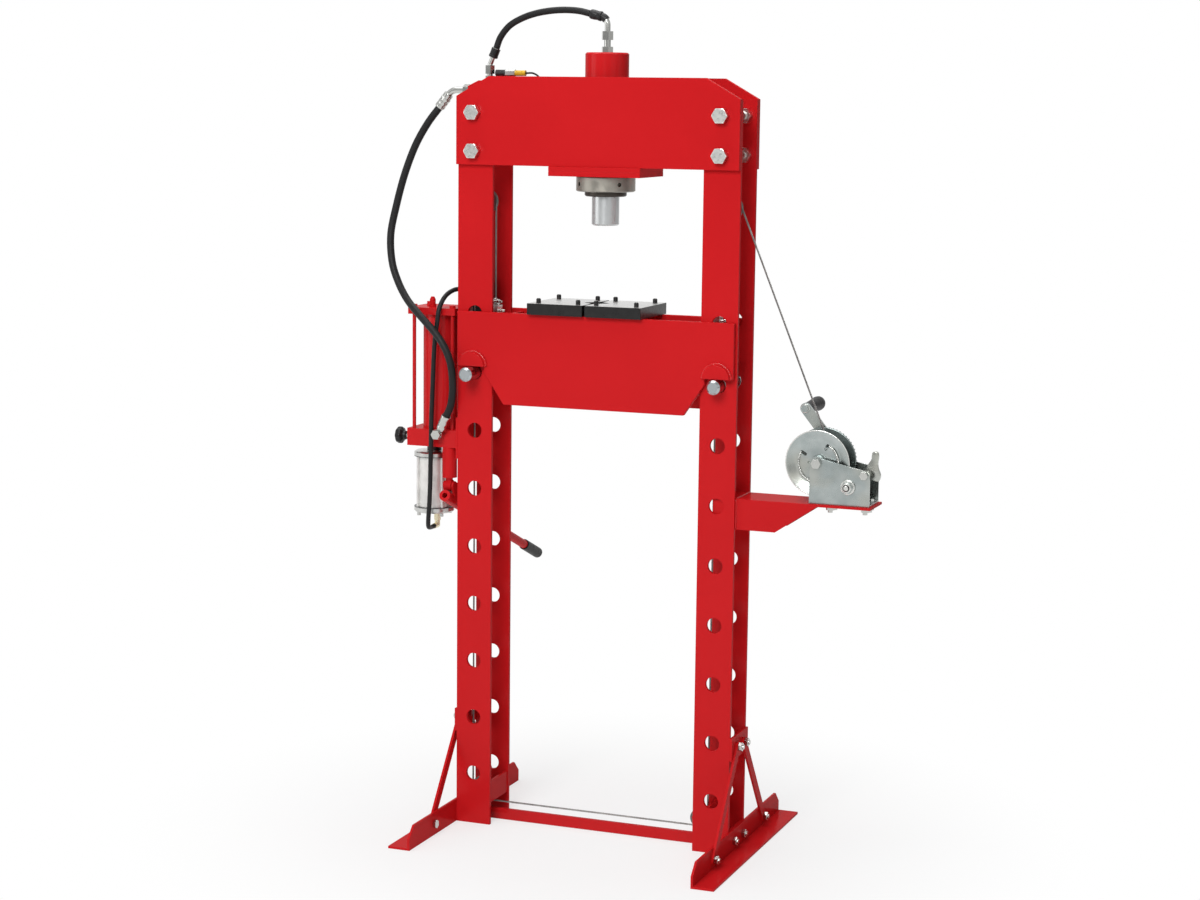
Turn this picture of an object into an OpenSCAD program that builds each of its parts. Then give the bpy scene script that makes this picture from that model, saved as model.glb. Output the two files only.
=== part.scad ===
// Workshop press: a floor-standing frame with a hydraulic ram, an air-driven pump,
// a bed on two pins and a hand winch that lifts the bed by a cable.
// Millimetres. +Z is up, X runs along the bed, the front is towards -Y.
// The origin is on the floor, below the ram.

/* [Frame] */
// Width over the uprights
frame_width = 632; // [500:2:900]
// Depth over the front and rear upright bars
frame_depth = 110; // [100:1:180]
// Width of an upright bar
bar_width = 80; // [60:1:110]
// Thickness of an upright bar
bar_thickness = 8; // [6:0.5:14]
// Height of the upright bars
upright_height = 1589; // [1560:1:1610]
// Height of the lowest pin hole
first_hole_height = 113; // [105:1:140]
// Distance between pin holes
hole_pitch = 127; // [126:0.5:128]
// Number of pin holes in each bar
hole_count = 9; // [8:1:9]
// Diameter of a pin hole
pin_hole_diameter = 33; // [32:0.5:36]
// Underside of the head plates
head_bottom = 1445; // [1443:1:1450]
// Top of the head plates
head_top = 1631; // [1625:1:1640]
// Thickness of a head plate
head_thickness = 12; // [8:0.5:20]
// Sideways size of the head's top corner chamfers
head_chamfer_width = 75; // [40:1:100]
// Height of the head's top corner chamfers
head_chamfer_height = 42; // [20:1:50]

/* [Head bolts] */
// Distance of the front bolts from the uprights' outer edges
front_bolt_inset = 40; // [34:1:46]
// Distance of the rear bolts from the uprights' outer edges
rear_bolt_inset = 27; // [24:1:36]
// Height of the lower bolts
lower_bolt_z = 1474; // [1470:1:1490]
// Height of the upper bolts
upper_bolt_z = 1555; // [1540:1:1560]
// Diameter of the bolt shank
head_bolt_diameter = 20; // [16:1:22]
// Width across the flats of the bolt head
head_bolt_flats = 30; // [24:1:34]

/* [Feet] */
// Length of a foot
foot_length = 590; // [500:5:800]
// Width of the angle's legs
foot_leg = 50; // [40:1:70]
// Thickness of the angle
foot_thickness = 5; // [4:0.5:8]
// Width of a brace
brace_width = 20; // [16:1:26]
// Thickness of a brace
brace_thickness = 5; // [4:0.5:8]
// Distance of a brace's lower bolt from the middle
brace_low_y = 170; // [140:1:220]
// Height of a brace's upper bolt
brace_high_z = 230; // [222:1:240]
// Thickness of the bar across the floor
cross_tie_thickness = 10; // [6:1:20]
// Height of the bar across the floor
cross_tie_height = 24; // [18:1:32]

/* [Ram] */
// Diameter of the ram rod
ram_diameter = 58; // [50:1:64]
// Height of the ram's end
ram_end_z = 1322; // [1318:1:1330]
// Outer diameter of the cylinder
cylinder_diameter = 92; // [90:1:96]
// Bore of the cylinder
cylinder_bore = 76; // [70:1:78]
// Top of the cylinder
cylinder_top = 1682; // [1680:1:1690]
// Diameter of the ring nut
ring_nut_diameter = 125; // [115:1:138]
// Height of the ring nut
ring_nut_height = 32; // [26:1:32]
// Diameter of the spanner holes in the ring nut
spanner_hole_diameter = 9; // [6:0.5:11]
// Width of the support plate under the head
support_width = 205; // [160:1:260]
// Depth of the support plate under the head
support_depth = 143; // [136:1:160]
// Thickness of the support plate under the head
support_thickness = 20; // [16:1:20]
// Running gap around shafts and rods
running_gap = 0.05; // [0.02:0.01:0.1]

/* [Bed] */
// Distance of the bed plates' ends from the uprights' outer edges
bed_end_inset = 4; // [0:0.5:10]
// Width of a bed plate's foot over the pin
bed_foot = 62; // [56:1:70]
// Depth of the step beside a foot
bed_step = 12; // [8:1:20]
// Sideways size of the slope below the step
bed_slope = 46; // [30:1:70]
// Rise of the bed plates over the pins they rest on
bed_rise = 116.9; // [112:0.1:122]
// Height of the bed plates
bed_height = 197; // [190:1:230]
// Thickness of a bed plate
bed_thickness = 12; // [8:0.5:16]
// Pin hole that the bed stands in, counted from the bottom
bed_hole = 8; // [8:1:8]
// Diameter of a bed pin
pin_diameter = 30; // [28:0.5:30]
// Length of a bed pin
pin_length = 210; // [190:1:240]
// Radius of the half-round saddles
saddle_radius = 30; // [26:1:36]
// Thickness of a saddle
saddle_thickness = 10; // [6:1:14]
// Distance that the left pin stands out of the bed's front
left_pin_out = 40.5; // [20:0.5:60]
// Distance that the right pin stands out of the bed's front
right_pin_out = 25.5; // [20:0.5:60]
// Gap between the bed and the uprights
bed_gap = 0.5; // [0.4:0.1:2]

/* [Arbor plates] */
// Width of an arbor plate
arbor_width = 125; // [100:1:126]
// Depth of an arbor plate
arbor_depth = 160; // [140:1:180]
// Thickness of an arbor plate
arbor_thickness = 24; // [16:1:26]
// Gap between the two plates
arbor_gap = 6; // [4:1:12]
// Sideways place of the gap between the plates
arbor_centre_x = -17; // [-20:1:20]
// Half angle of the V notches
notch_half_angle = 45; // [30:1:50]
// Depth of the V notches
notch_depth = 26; // [16:1:34]
// Diameter of a peg
peg_diameter = 10; // [8:0.5:14]
// Height of a peg
peg_height = 10; // [6:1:12]

/* [Pump] */
// Distance of the tank's axis from the upright's outer edge
pump_offset = 65; // [60:1:80]
// Diameter of the oil tank
tank_diameter = 77; // [60:1:78]
// Side of the pump's lower block
pump_block_depth = 100; // [96:1:104]
// Height of the pump's lower block
pump_block_height = 38; // [34:1:40]
// Underside of the pump's lower block
pump_block_z = 832; // [830:1:834]
// Underside of the tank's top plate
tank_top_z = 1120; // [1080:1:1120]
// Thickness of the tank's top plate
tank_plate_thickness = 15; // [10:1:15]
// Diameter of a tie rod
tie_rod_diameter = 8; // [6:0.5:9]
// Diameter of the release knob
knob_diameter = 37; // [28:1:42]
// Diameter of the air motor
motor_diameter = 89; // [70:1:89]
// Diameter of the hand pump's cylinder
plunger_cylinder_diameter = 32; // [26:1:32]
// Diameter of the hand pump's plunger
plunger_diameter = 14; // [10:0.5:16]
// Diameter of the handle socket
socket_diameter = 25; // [23:0.5:26]
// Diameter of the handle bar
handle_diameter = 20; // [16:0.5:21]
// Diameter of the handle grip
grip_diameter = 25; // [23:0.5:28]
// Distance between the lever's two pins
lever_arm = 30; // [29:0.5:31]

/* [Winch] */
// Distance of the drum's axis from the upright's outer edge
drum_offset = 170; // [160:1:190]
// Height of the drum's axis over the winch arm
drum_rise = 84; // [80:1:90]
// Teeth of the drum gear
drum_teeth = 52; // [52:1:52]
// Teeth of the drive pinion
pinion_teeth = 13; // [13:1:13]
// Gear module
gear_module = 2.5; // [2.5:0.1:2.5]
// Gear pressure angle
pressure_angle = 25; // [20:1:25]
// Gap between the flanks of the meshing teeth
gear_backlash = 0.7; // [0.6:0.05:0.9]
// Teeth of the ratchet wheel
ratchet_teeth = 12; // [10:1:14]
// Radius of the ratchet wheel
ratchet_radius = 20; // [18:0.5:20]
// Diameter of the drum flange
flange_diameter = 136; // [120:1:138]
// Diameter of the drum core
drum_core_diameter = 50; // [46:1:52]
// Diameter of the cable
cable_diameter = 4; // [3:0.5:4]
// Thickness of the winch side plates
winch_plate = 4; // [3:0.5:4]
// Length of the crank between its holes
crank_length = 189; // [150:1:200]
// Width of the crank arm
crank_width = 23; // [18:1:28]
// Thickness of the crank arm
crank_thickness = 6; // [5:0.5:7]
// Thickness of the folded winch arm
arm_thickness = 5; // [4:0.5:6]

/* [Pulleys] */
// Radius from a pulley's centre to the cable's centre
pulley_radius = 24.5; // [22:0.5:25]
// The same radius of the small pulley at the right upright's foot
small_pulley_radius = 17.5; // [15:0.5:20]
// Width of a pulley
pulley_width = 10; // [8:0.5:14]
// Diameter of a pulley axle
axle_diameter = 12; // [8:0.5:14]
// Height of the top pulleys
top_pulley_z = 1366; // [1340:1:1380]
// Height of the cable's run along the floor
floor_run_z = 40; // [38:1:46]

/* [Hoses] */
// Diameter of the hose from the pump to the head
pump_hose_diameter = 16; // [13:0.5:16]
// Diameter of the hose to the ram
ram_hose_diameter = 14; // [12:0.5:15]
// Diameter of the air hose
air_hose_diameter = 10; // [8:0.5:10]
// Diameter of the thin lead
lead_diameter = 4; // [3:0.5:5]

/* [Hidden] */
$fn = 48;
half_width = frame_width / 2;
bar_inner = half_width - bar_width;
bar_middle = half_width - bar_width / 2;
bar_face = frame_depth / 2;
bar_back = bar_face - bar_thickness;
head_face = bar_face + head_thickness;
support_bottom = head_bottom - support_thickness;
ring_bottom = support_bottom - ring_nut_height;
gland_height = 10;
gland_bottom = ring_bottom - gland_height;
pin_z = first_hole_height + (bed_hole - 1) * hole_pitch - (pin_hole_diameter - pin_diameter) / 2 + 0.3;
pin_top = pin_z + pin_diameter / 2;
rest_gap = 0.3;
foot_seat = pin_top + rest_gap;
bed_top = foot_seat + bed_rise;
bed_bottom = bed_top - bed_height;
bed_inner = bar_face + bed_gap;
bed_outer = bed_inner + bed_thickness;
arbor_top = bed_top + arbor_thickness;
front_bolt_x = half_width - front_bolt_inset;
rear_bolt_x = half_width - rear_bolt_inset;
bed_length = frame_width - 2 * bed_end_inset;
pump_x = -half_width - pump_offset;
bracket_x = half_width + foot_thickness;
block_reach = 59;
block_left = pump_x - block_reach;
block_shift = 2;
block_front = block_shift - pump_block_depth / 2;
block_top = pump_block_z + pump_block_height;
rod_dx = 45.5;
rod_dy = 40;
motor_offset = 25;
motor_x = pump_x - motor_offset;
motor_y = 20;
motor_top = 814;
motor_bottom = 678;
motor_cap = 12;
lever_offset = 36;
lever_x = pump_x + lever_offset;
fulcrum_y = -5;
fulcrum_z = 735;
lever_rest = 25;
plunger_y = fulcrum_y - lever_arm * cos(lever_rest);
plunger_pin_z = fulcrum_z + lever_arm * sin(lever_rest);
plunger_end_z = 765;
handle_slope = 22.4;
socket_y = -58;
socket_z = 728.4;
lever_pin_diameter = 10;
cheek_inner = 7.6;
cheek_outer = 12.4;
hanger_inner = 13.4;
hanger_outer = 17.4;
arm_top = 766;
drum_x = half_width + drum_offset;
drum_z = arm_top + drum_rise;
gear_distance = gear_module * (drum_teeth + pinion_teeth) / 2;
gear_angle = -33.6;
drive_x = drum_x + gear_distance * cos(gear_angle);
drive_z = drum_z + gear_distance * sin(gear_angle);
drum_shaft = 16;
drive_shaft_diameter = 16;
side_outer = 38;
side_inner = side_outer - winch_plate;
winch_floor = arm_top + winch_plate;
pawl_offset = 101;
pawl_rise = 65;
pawl_x = drum_x + pawl_offset;
pawl_z = arm_top + pawl_rise;
crank_angle = 129.4;
crank_y = 50;
grip_x = drive_x + crank_length * cos(crank_angle);
grip_z = drive_z + crank_length * sin(crank_angle);
cable_r = cable_diameter / 2;
cable_clear = 0.35;
drum_wrap = drum_core_diameter / 2 + cable_r + cable_clear;
floor_pulley_z = floor_run_z + pulley_radius;
right_run = bar_middle - pulley_radius;
right_floor_x = right_run - small_pulley_radius;
right_floor_z = floor_run_z + small_pulley_radius;
drop_x = -bar_middle + pulley_radius;
drum_run = norm([drum_x - bar_middle, drum_z - top_pulley_z]);
run_angle = acos((pulley_radius - drum_wrap) / drum_run) + atan2(drum_z - top_pulley_z, drum_x - bar_middle);
clip_top = bed_top + 18;
manifold_inset = 41;
manifold_x = manifold_inset - half_width;
manifold_seat = 1579;
manifold_top = 1622;

// Route points of the hoses
pump_hose_points = [
    [-386, 0, 1564], [-415, 0, 1528], [-443, -2, 1480], [-467, -5, 1418], [-485, -9, 1350],
    [-495, -16, 1288], [-488, -24, 1230], [-468, -34, 1186], [-441, -48, 1152], [-410, -66, 1128],
    [-380, -78, 1105], [-352, -84, 1080], [-331, -87, 1052], [-319, -87, 1022], [-315, -85, 990],
    [-317, -80, 955], [-324, -75, 926.5], [-336, -69, 905]
];
ram_hose_points = [
    [-38, 0, 1762], [-65, 0, 1768], [-98, 0, 1770], [-132, 0, 1768], [-166, 0, 1762],
    [-196, 0, 1752], [-223, 0, 1737], [-243, 0, 1714], [-253, 0, 1690]
];
air_hose_points = [
    [-314, 32, 1166], [-324, 32, 1166], [-338, 18, 1172], [-347, -8, 1172], [-354, -38, 1160],
    [-358, -60, 1135], [-361, -64, 1105], [-366, -64, 1070], [-369, -63, 1035], [-371, -62, 1000],
    [-373, -62, 950], [-375, -62, 900], [-376, -62, 850], [-377, -62, 800], [-378, -62, 750],
    [-380, -62, 705], [-384, -58, 675], [-390, -45, 655], [-394, -27, 649], [-394, -8, 649]
];
lead_points = [
    [-185, 0, 1638], [-168, 0, 1638], [-154, 0, 1629], [-147, 0, 1608], [-140, 0, 1580],
    [-122, 0, 1555], [-92, 0, 1540], [-60, 0, 1540]
];

// A round bar along X, Y or Z between two ends
module bar_along_x(x0, x1, y, z, d) {
    translate([x0, y, z]) rotate([0, 90, 0]) cylinder(d = d, h = x1 - x0);
}
module bar_along_y(y0, y1, x, z, d) {
    translate([x, y1, z]) rotate([90, 0, 0]) cylinder(d = d, h = y1 - y0);
}
module bar_along_z(z0, z1, x, y, d) {
    translate([x, y, z0]) cylinder(d = d, h = z1 - z0);
}
module hex_along_x(x0, x1, y, z, flats) {
    translate([x0, y, z]) rotate([0, 90, 0]) cylinder(d = flats / cos(30), h = x1 - x0, $fn = 6);
}
module hex_along_y(y0, y1, x, z, flats) {
    translate([x, y1, z]) rotate([90, 0, 0]) cylinder(d = flats / cos(30), h = y1 - y0, $fn = 6);
}
module hex_along_z(z0, z1, x, y, flats) {
    translate([x, y, z0]) cylinder(d = flats / cos(30), h = z1 - z0, $fn = 6);
}
// A box between two corners
module block(a, b) {
    translate(a) cube(b - a);
}
// A flat plate drawn in X and Z, between two depths
module plate_xz(y0, y1) {
    translate([0, y1, 0]) rotate([90, 0, 0]) linear_extrude(y1 - y0) children();
}
// A flat plate drawn in Y and Z, between two sides
module plate_yz(x0, x1) {
    translate([x0, 0, 0]) rotate([90, 0, 90]) linear_extrude(x1 - x0) children();
}

// A hose through points, as rings of corners joined up
function unit(v) = v / norm(v);
function along(p, i) = unit(p[min(i + 1, len(p) - 1)] - p[max(i - 1, 0)]);
function side(d, guide) = unit(cross(d, guide));
function ring(c, d, r, n, s) = [
    for (k = [0 : n - 1])
        c + r * (cos(360 * k / n) * s + sin(360 * k / n) * cross(d, s))
];
module hose(points, d, n, guide) {
    last = len(points) - 1;
    corners = [
        for (i = [0 : last])
            each ring(points[i], along(points, i), d / 2, n, side(along(points, i), guide))
    ];
    walls = [
        for (i = [0 : last - 1])
            for (k = [0 : n - 1])
                [i * n + k, (i + 1) * n + k, (i + 1) * n + (k + 1) % n, i * n + (k + 1) % n]
    ];
    first_cap = [for (k = [0 : n - 1]) k];
    last_cap = [for (k = [0 : n - 1]) last * n + n - 1 - k];
    polyhedron(points = corners, faces = concat(walls, [first_cap, last_cap]), convexity = 8);
}
// A round piece that starts at a point and runs along a direction
module round_from(p, d, length, dia) {
    turn = acos(unit(d)[2]);
    translate(p) rotate([0, turn, atan2(d[1], d[0])]) cylinder(d = dia, h = length);
}
module hex_from(p, d, length, flats) {
    turn = acos(unit(d)[2]);
    translate(p) rotate([0, turn, atan2(d[1], d[0])]) cylinder(d = flats / cos(30), h = length, $fn = 6);
}

// Uprights
module upright_bar(side, y0) {
    x0 = side < 0 ? -half_width : bar_inner;
    difference() {
        block([x0, y0, 0], [x0 + bar_width, y0 + bar_thickness, upright_height]);
        for (i = [0 : hole_count - 1])
            bar_along_y(
                y0 - 1, y0 + bar_thickness + 1, side * bar_middle,
                first_hole_height + i * hole_pitch, pin_hole_diameter
            );
        for (z = [lower_bolt_z, upper_bolt_z])
            bar_along_y(
                y0 - 1, y0 + bar_thickness + 1, side * (y0 < 0 ? front_bolt_x : rear_bolt_x),
                z, head_bolt_diameter
            );
    }
}
module upright_front_left() color("firebrick") upright_bar(-1, -bar_face);
module upright_rear_left() color("firebrick") upright_bar(-1, bar_back);
module upright_front_right() color("firebrick") upright_bar(1, -bar_face);
module upright_rear_right() color("firebrick") upright_bar(1, bar_back);

// Head
module head_plate(y0, bolt_x) {
    difference() {
        plate_xz(y0, y0 + head_thickness) polygon([
            [-half_width, head_bottom],
            [half_width, head_bottom],
            [half_width, head_top - head_chamfer_height],
            [half_width - head_chamfer_width, head_top],
            [-half_width + head_chamfer_width, head_top],
            [-half_width, head_top - head_chamfer_height]
        ]);
        for (s = [-1, 1])
            for (z = [lower_bolt_z, upper_bolt_z])
                bar_along_y(y0 - 1, y0 + head_thickness + 1, s * bolt_x, z, head_bolt_diameter);
    }
}
module head_front() color("firebrick") head_plate(-head_face, front_bolt_x);
module head_rear() color("firebrick") head_plate(bar_face, rear_bolt_x);
bolt_head = 12.5;
bolt_washer = 3;
bolt_nut = 16;
bolt_tail = 6;
module head_bolt(x, z) {
    chamfer_r = head_bolt_flats / 2 - 0.3;
    bar_along_y(-head_face - bolt_washer, -bar_back, x, z, head_bolt_diameter);
    difference() {
        bar_along_y(-head_face - bolt_washer, -head_face, x, z, head_bolt_flats - 1);
        bar_along_y(-head_face - bolt_washer - 1, -head_face + 1, x, z, head_bolt_diameter - 1);
    }
    intersection() {
        hex_along_y(-head_face - bolt_washer - bolt_head, -head_face - bolt_washer, x, z, head_bolt_flats);
        translate([x, -head_face - bolt_washer, z]) rotate([90, 0, 0])
            cylinder(r1 = chamfer_r + 1.7 * bolt_head, r2 = chamfer_r, h = bolt_head + 0.01);
    }
    hex_along_y(-bar_back, -bar_back + bolt_nut, x, z, head_bolt_flats);
    bar_along_y(-bar_back + bolt_nut, -bar_back + bolt_nut + bolt_tail, x, z, head_bolt_diameter - 2);
}
module head_fasteners() color("silver") {
    for (s = [-1, 1])
        for (z = [lower_bolt_z, upper_bolt_z]) {
            head_bolt(s * front_bolt_x, z);
            mirror([0, 1, 0]) head_bolt(s * rear_bolt_x, z);
        }
}
module ram_support_plate() color("firebrick") difference() {
    block(
        [-support_width / 2, -support_depth / 2, support_bottom],
        [support_width / 2, support_depth / 2, head_bottom]
    );
    bar_along_z(support_bottom - 1, head_bottom + 1, 0, 0, cylinder_diameter);
    groove = 1.5;
    for (s = [-1, 1])
        translate([0, s * support_depth / 2, support_bottom + support_thickness / 2]) rotate([45, 0, 0])
            cube([support_width + 2, groove, groove], center = true);
}

// Plates between the front and rear bars
tie_low = brace_high_z - 25;
tie_high = brace_high_z + 25;
guard_low = 48;
guard_high = 96;
guard_left_x = -bar_inner - 8;
guard_right_x = right_floor_x + 28;
guard_thickness = 6;
lug_inner = pulley_width / 2 + 3;
lug_outer = lug_inner + 5;
module upright_ties() color("firebrick") {
    for (s = [-1, 1]) {
        x0 = s < 0 ? -bracket_x : half_width;
        difference() {
            block([x0, -bar_face, tie_low], [x0 + foot_thickness, bar_face, tie_high]);
            for (y = [-brace_high_y, brace_high_y])
                bar_along_x(x0 - 1, x0 + foot_thickness + 1, y, brace_high_z, foot_bolt);
        }
    }
    for (s = [-1, 1]) {
        x0 = s < 0 ? -half_width : half_width - foot_thickness;
        difference() {
            block([x0, -bar_back, 0], [x0 + foot_thickness, bar_back, foot_leg]);
            for (y = [-middle_bolt_y, middle_bolt_y])
                bar_along_x(x0 - 1, x0 + foot_thickness + 1, y, brace_low_z, foot_bolt);
        }
    }
    block([guard_left_x, -bar_back, guard_low], [guard_left_x + guard_thickness, bar_back, guard_high]);
    block([guard_right_x, -bar_back, guard_low], [guard_right_x + guard_thickness, bar_back, guard_high]);
    for (y = [-lug_outer, lug_inner])
        difference() {
            plate_xz(y, y + lug_outer - lug_inner) polygon([
                [right_floor_x - 10, right_floor_z - 14],
                [guard_right_x, guard_low],
                [guard_right_x, guard_high],
                [right_floor_x - 2, right_floor_z + 14],
                [right_floor_x - 14, right_floor_z + 4]
            ]);
            bar_along_y(y - 1, y + 10, right_floor_x, right_floor_z, axle_diameter);
        }
    block([-bar_middle - 36, -bar_back, manifold_seat - 8], [-bar_middle + 36, bar_back, manifold_seat]);
}

// Feet, braces and their bolts
foot_bolt = 10;
foot_end_y = 25;
foot_end_z = 24;
brace_high_y = 21;
brace_low_z = 25;
middle_bolt_y = 30;
module foot(s) {
    half = foot_length / 2;
    x0 = s < 0 ? -bracket_x : half_width;
    difference() {
        plate_yz(x0, x0 + foot_thickness) polygon([
            [-half, 0],
            [half, 0],
            [half, foot_leg - foot_end_z],
            [half - foot_end_y, foot_leg],
            [-half + foot_end_y, foot_leg],
            [-half, foot_leg - foot_end_z]
        ]);
        for (y = [-brace_low_y, -middle_bolt_y, middle_bolt_y, brace_low_y])
            bar_along_x(x0 - 1, x0 + foot_thickness + 1, y, brace_low_z, foot_bolt);
    }
    x1 = s < 0 ? -half_width - foot_leg : bracket_x;
    block([x1, -half, 0], [x1 + foot_leg - foot_thickness, half, foot_thickness]);
}
module feet() color("firebrick") {
    foot(-1);
    foot(1);
}
module brace(x0, s) {
    rise = brace_high_z - brace_low_z;
    run = brace_low_y - brace_high_y;
    length = norm([rise, run]);
    tilt = atan2(rise, run);
    difference() {
        translate([x0, s * brace_low_y, brace_low_z]) rotate([90, 0, 90]) linear_extrude(brace_thickness)
            rotate(s > 0 ? 180 - tilt : tilt) translate([0, -brace_width / 2]) union() {
                square([length, brace_width]);
                translate([0, brace_width / 2]) circle(d = brace_width);
                translate([length, brace_width / 2]) circle(d = brace_width);
            }
        bar_along_x(x0 - 1, x0 + brace_thickness + 1, s * brace_low_y, brace_low_z, foot_bolt);
        bar_along_x(x0 - 1, x0 + brace_thickness + 1, s * brace_high_y, brace_high_z, foot_bolt);
    }
}
module foot_braces() color("firebrick") {
    for (x = [-bracket_x - brace_thickness, bracket_x])
        for (s = [-1, 1])
            brace(x, s);
}
module foot_bolt_at(s, y, z, inner, grip) {
    mirror([s < 0 ? 1 : 0, 0, 0]) {
        bar_along_x(inner - 3, half_width + grip + 11, y, z, foot_bolt);
        hex_along_x(half_width + grip, half_width + grip + 8, y, z, 17);
        hex_along_x(inner - 7, inner, y, z, 17);
    }
}
module foot_bolts() color("silver") {
    for (s = [-1, 1])
        for (t = [-1, 1]) {
            foot_bolt_at(s, t * brace_low_y, brace_low_z, half_width, foot_thickness + brace_thickness);
            foot_bolt_at(s, t * brace_high_y, brace_high_z, half_width, foot_thickness + brace_thickness);
            foot_bolt_at(s, t * middle_bolt_y, brace_low_z, half_width - foot_thickness, foot_thickness);
        }
}
module cross_tie() color("firebrick") block(
    [-half_width + foot_thickness, -cross_tie_thickness / 2, 0],
    [half_width - foot_thickness, cross_tie_thickness / 2, cross_tie_height]
);

// Ram
ram_head_z = 1602;
ram_head_height = 36;
cylinder_cap = 22;
port_seat = 3 - cylinder_diameter / 2;
port_z = 1540;
port_diameter = 12;
module ram_cylinder() color("firebrick") difference() {
    union() {
        bar_along_z(ring_bottom, cylinder_top - 3, 0, 0, cylinder_diameter);
        translate([0, 0, cylinder_top - 3])
            cylinder(d1 = cylinder_diameter, d2 = cylinder_diameter - 6, h = 3);
    }
    bar_along_z(ring_bottom - 1, cylinder_top - cylinder_cap, 0, 0, cylinder_bore);
    bar_along_x(-cylinder_diameter, port_seat, 0, port_z, port_diameter);
}
module ring_nut() color("dimgray") difference() {
    translate([0, 0, ring_bottom]) rotate_extrude() polygon([
        [cylinder_diameter / 2, 0],
        [ring_nut_diameter / 2 - 3, 0],
        [ring_nut_diameter / 2, 2],
        [ring_nut_diameter / 2, ring_nut_height - 2],
        [ring_nut_diameter / 2 - 2, ring_nut_height],
        [cylinder_diameter / 2, ring_nut_height]
    ]);
    for (a = [-42, 48, 138, 228])
        translate([0, 0, ring_bottom + ring_nut_height / 2]) rotate([90, 0, a])
            translate([0, 0, ring_nut_diameter / 2 - 10]) cylinder(d = spanner_hole_diameter, h = 12);
}
ram_step = 0.5;
ram_shank = ram_diameter / 2 - ram_step;
ram_tip_gap = 2;
ram_tip = gland_bottom - ram_tip_gap - ram_end_z;
module ram_gland() color("black") difference() {
    translate([0, 0, gland_bottom]) rotate_extrude() polygon([
        [ram_shank + running_gap, 0],
        [cylinder_diameter / 2 - 4, 0],
        [cylinder_diameter / 2 - 1.5, 2.5],
        [cylinder_diameter / 2 - 1.5, gland_height],
        [ram_shank + running_gap, gland_height]
    ]);
    bar_along_z(gland_bottom - 1, gland_bottom + 1, 0, 0, ram_diameter + 2);
}
module ram_piston() color("silver") {
    translate([0, 0, ram_end_z]) rotate_extrude() polygon([
        [0, 0],
        [ram_diameter / 2 - 3, 0],
        [ram_diameter / 2, 3],
        [ram_diameter / 2, ram_tip],
        [ram_shank, ram_tip],
        [ram_shank, ram_head_z - ram_end_z],
        [cylinder_bore / 2 - running_gap, ram_head_z - ram_end_z],
        [cylinder_bore / 2 - running_gap, ram_head_z - ram_end_z + 12],
        [cylinder_bore / 2 - 4, ram_head_z - ram_end_z + 12],
        [cylinder_bore / 2 - 4, ram_head_z - ram_end_z + 20],
        [cylinder_bore / 2 - running_gap, ram_head_z - ram_end_z + 20],
        [cylinder_bore / 2 - running_gap, ram_head_z - ram_end_z + ram_head_height],
        [0, ram_head_z - ram_end_z + ram_head_height]
    ]);
}

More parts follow.
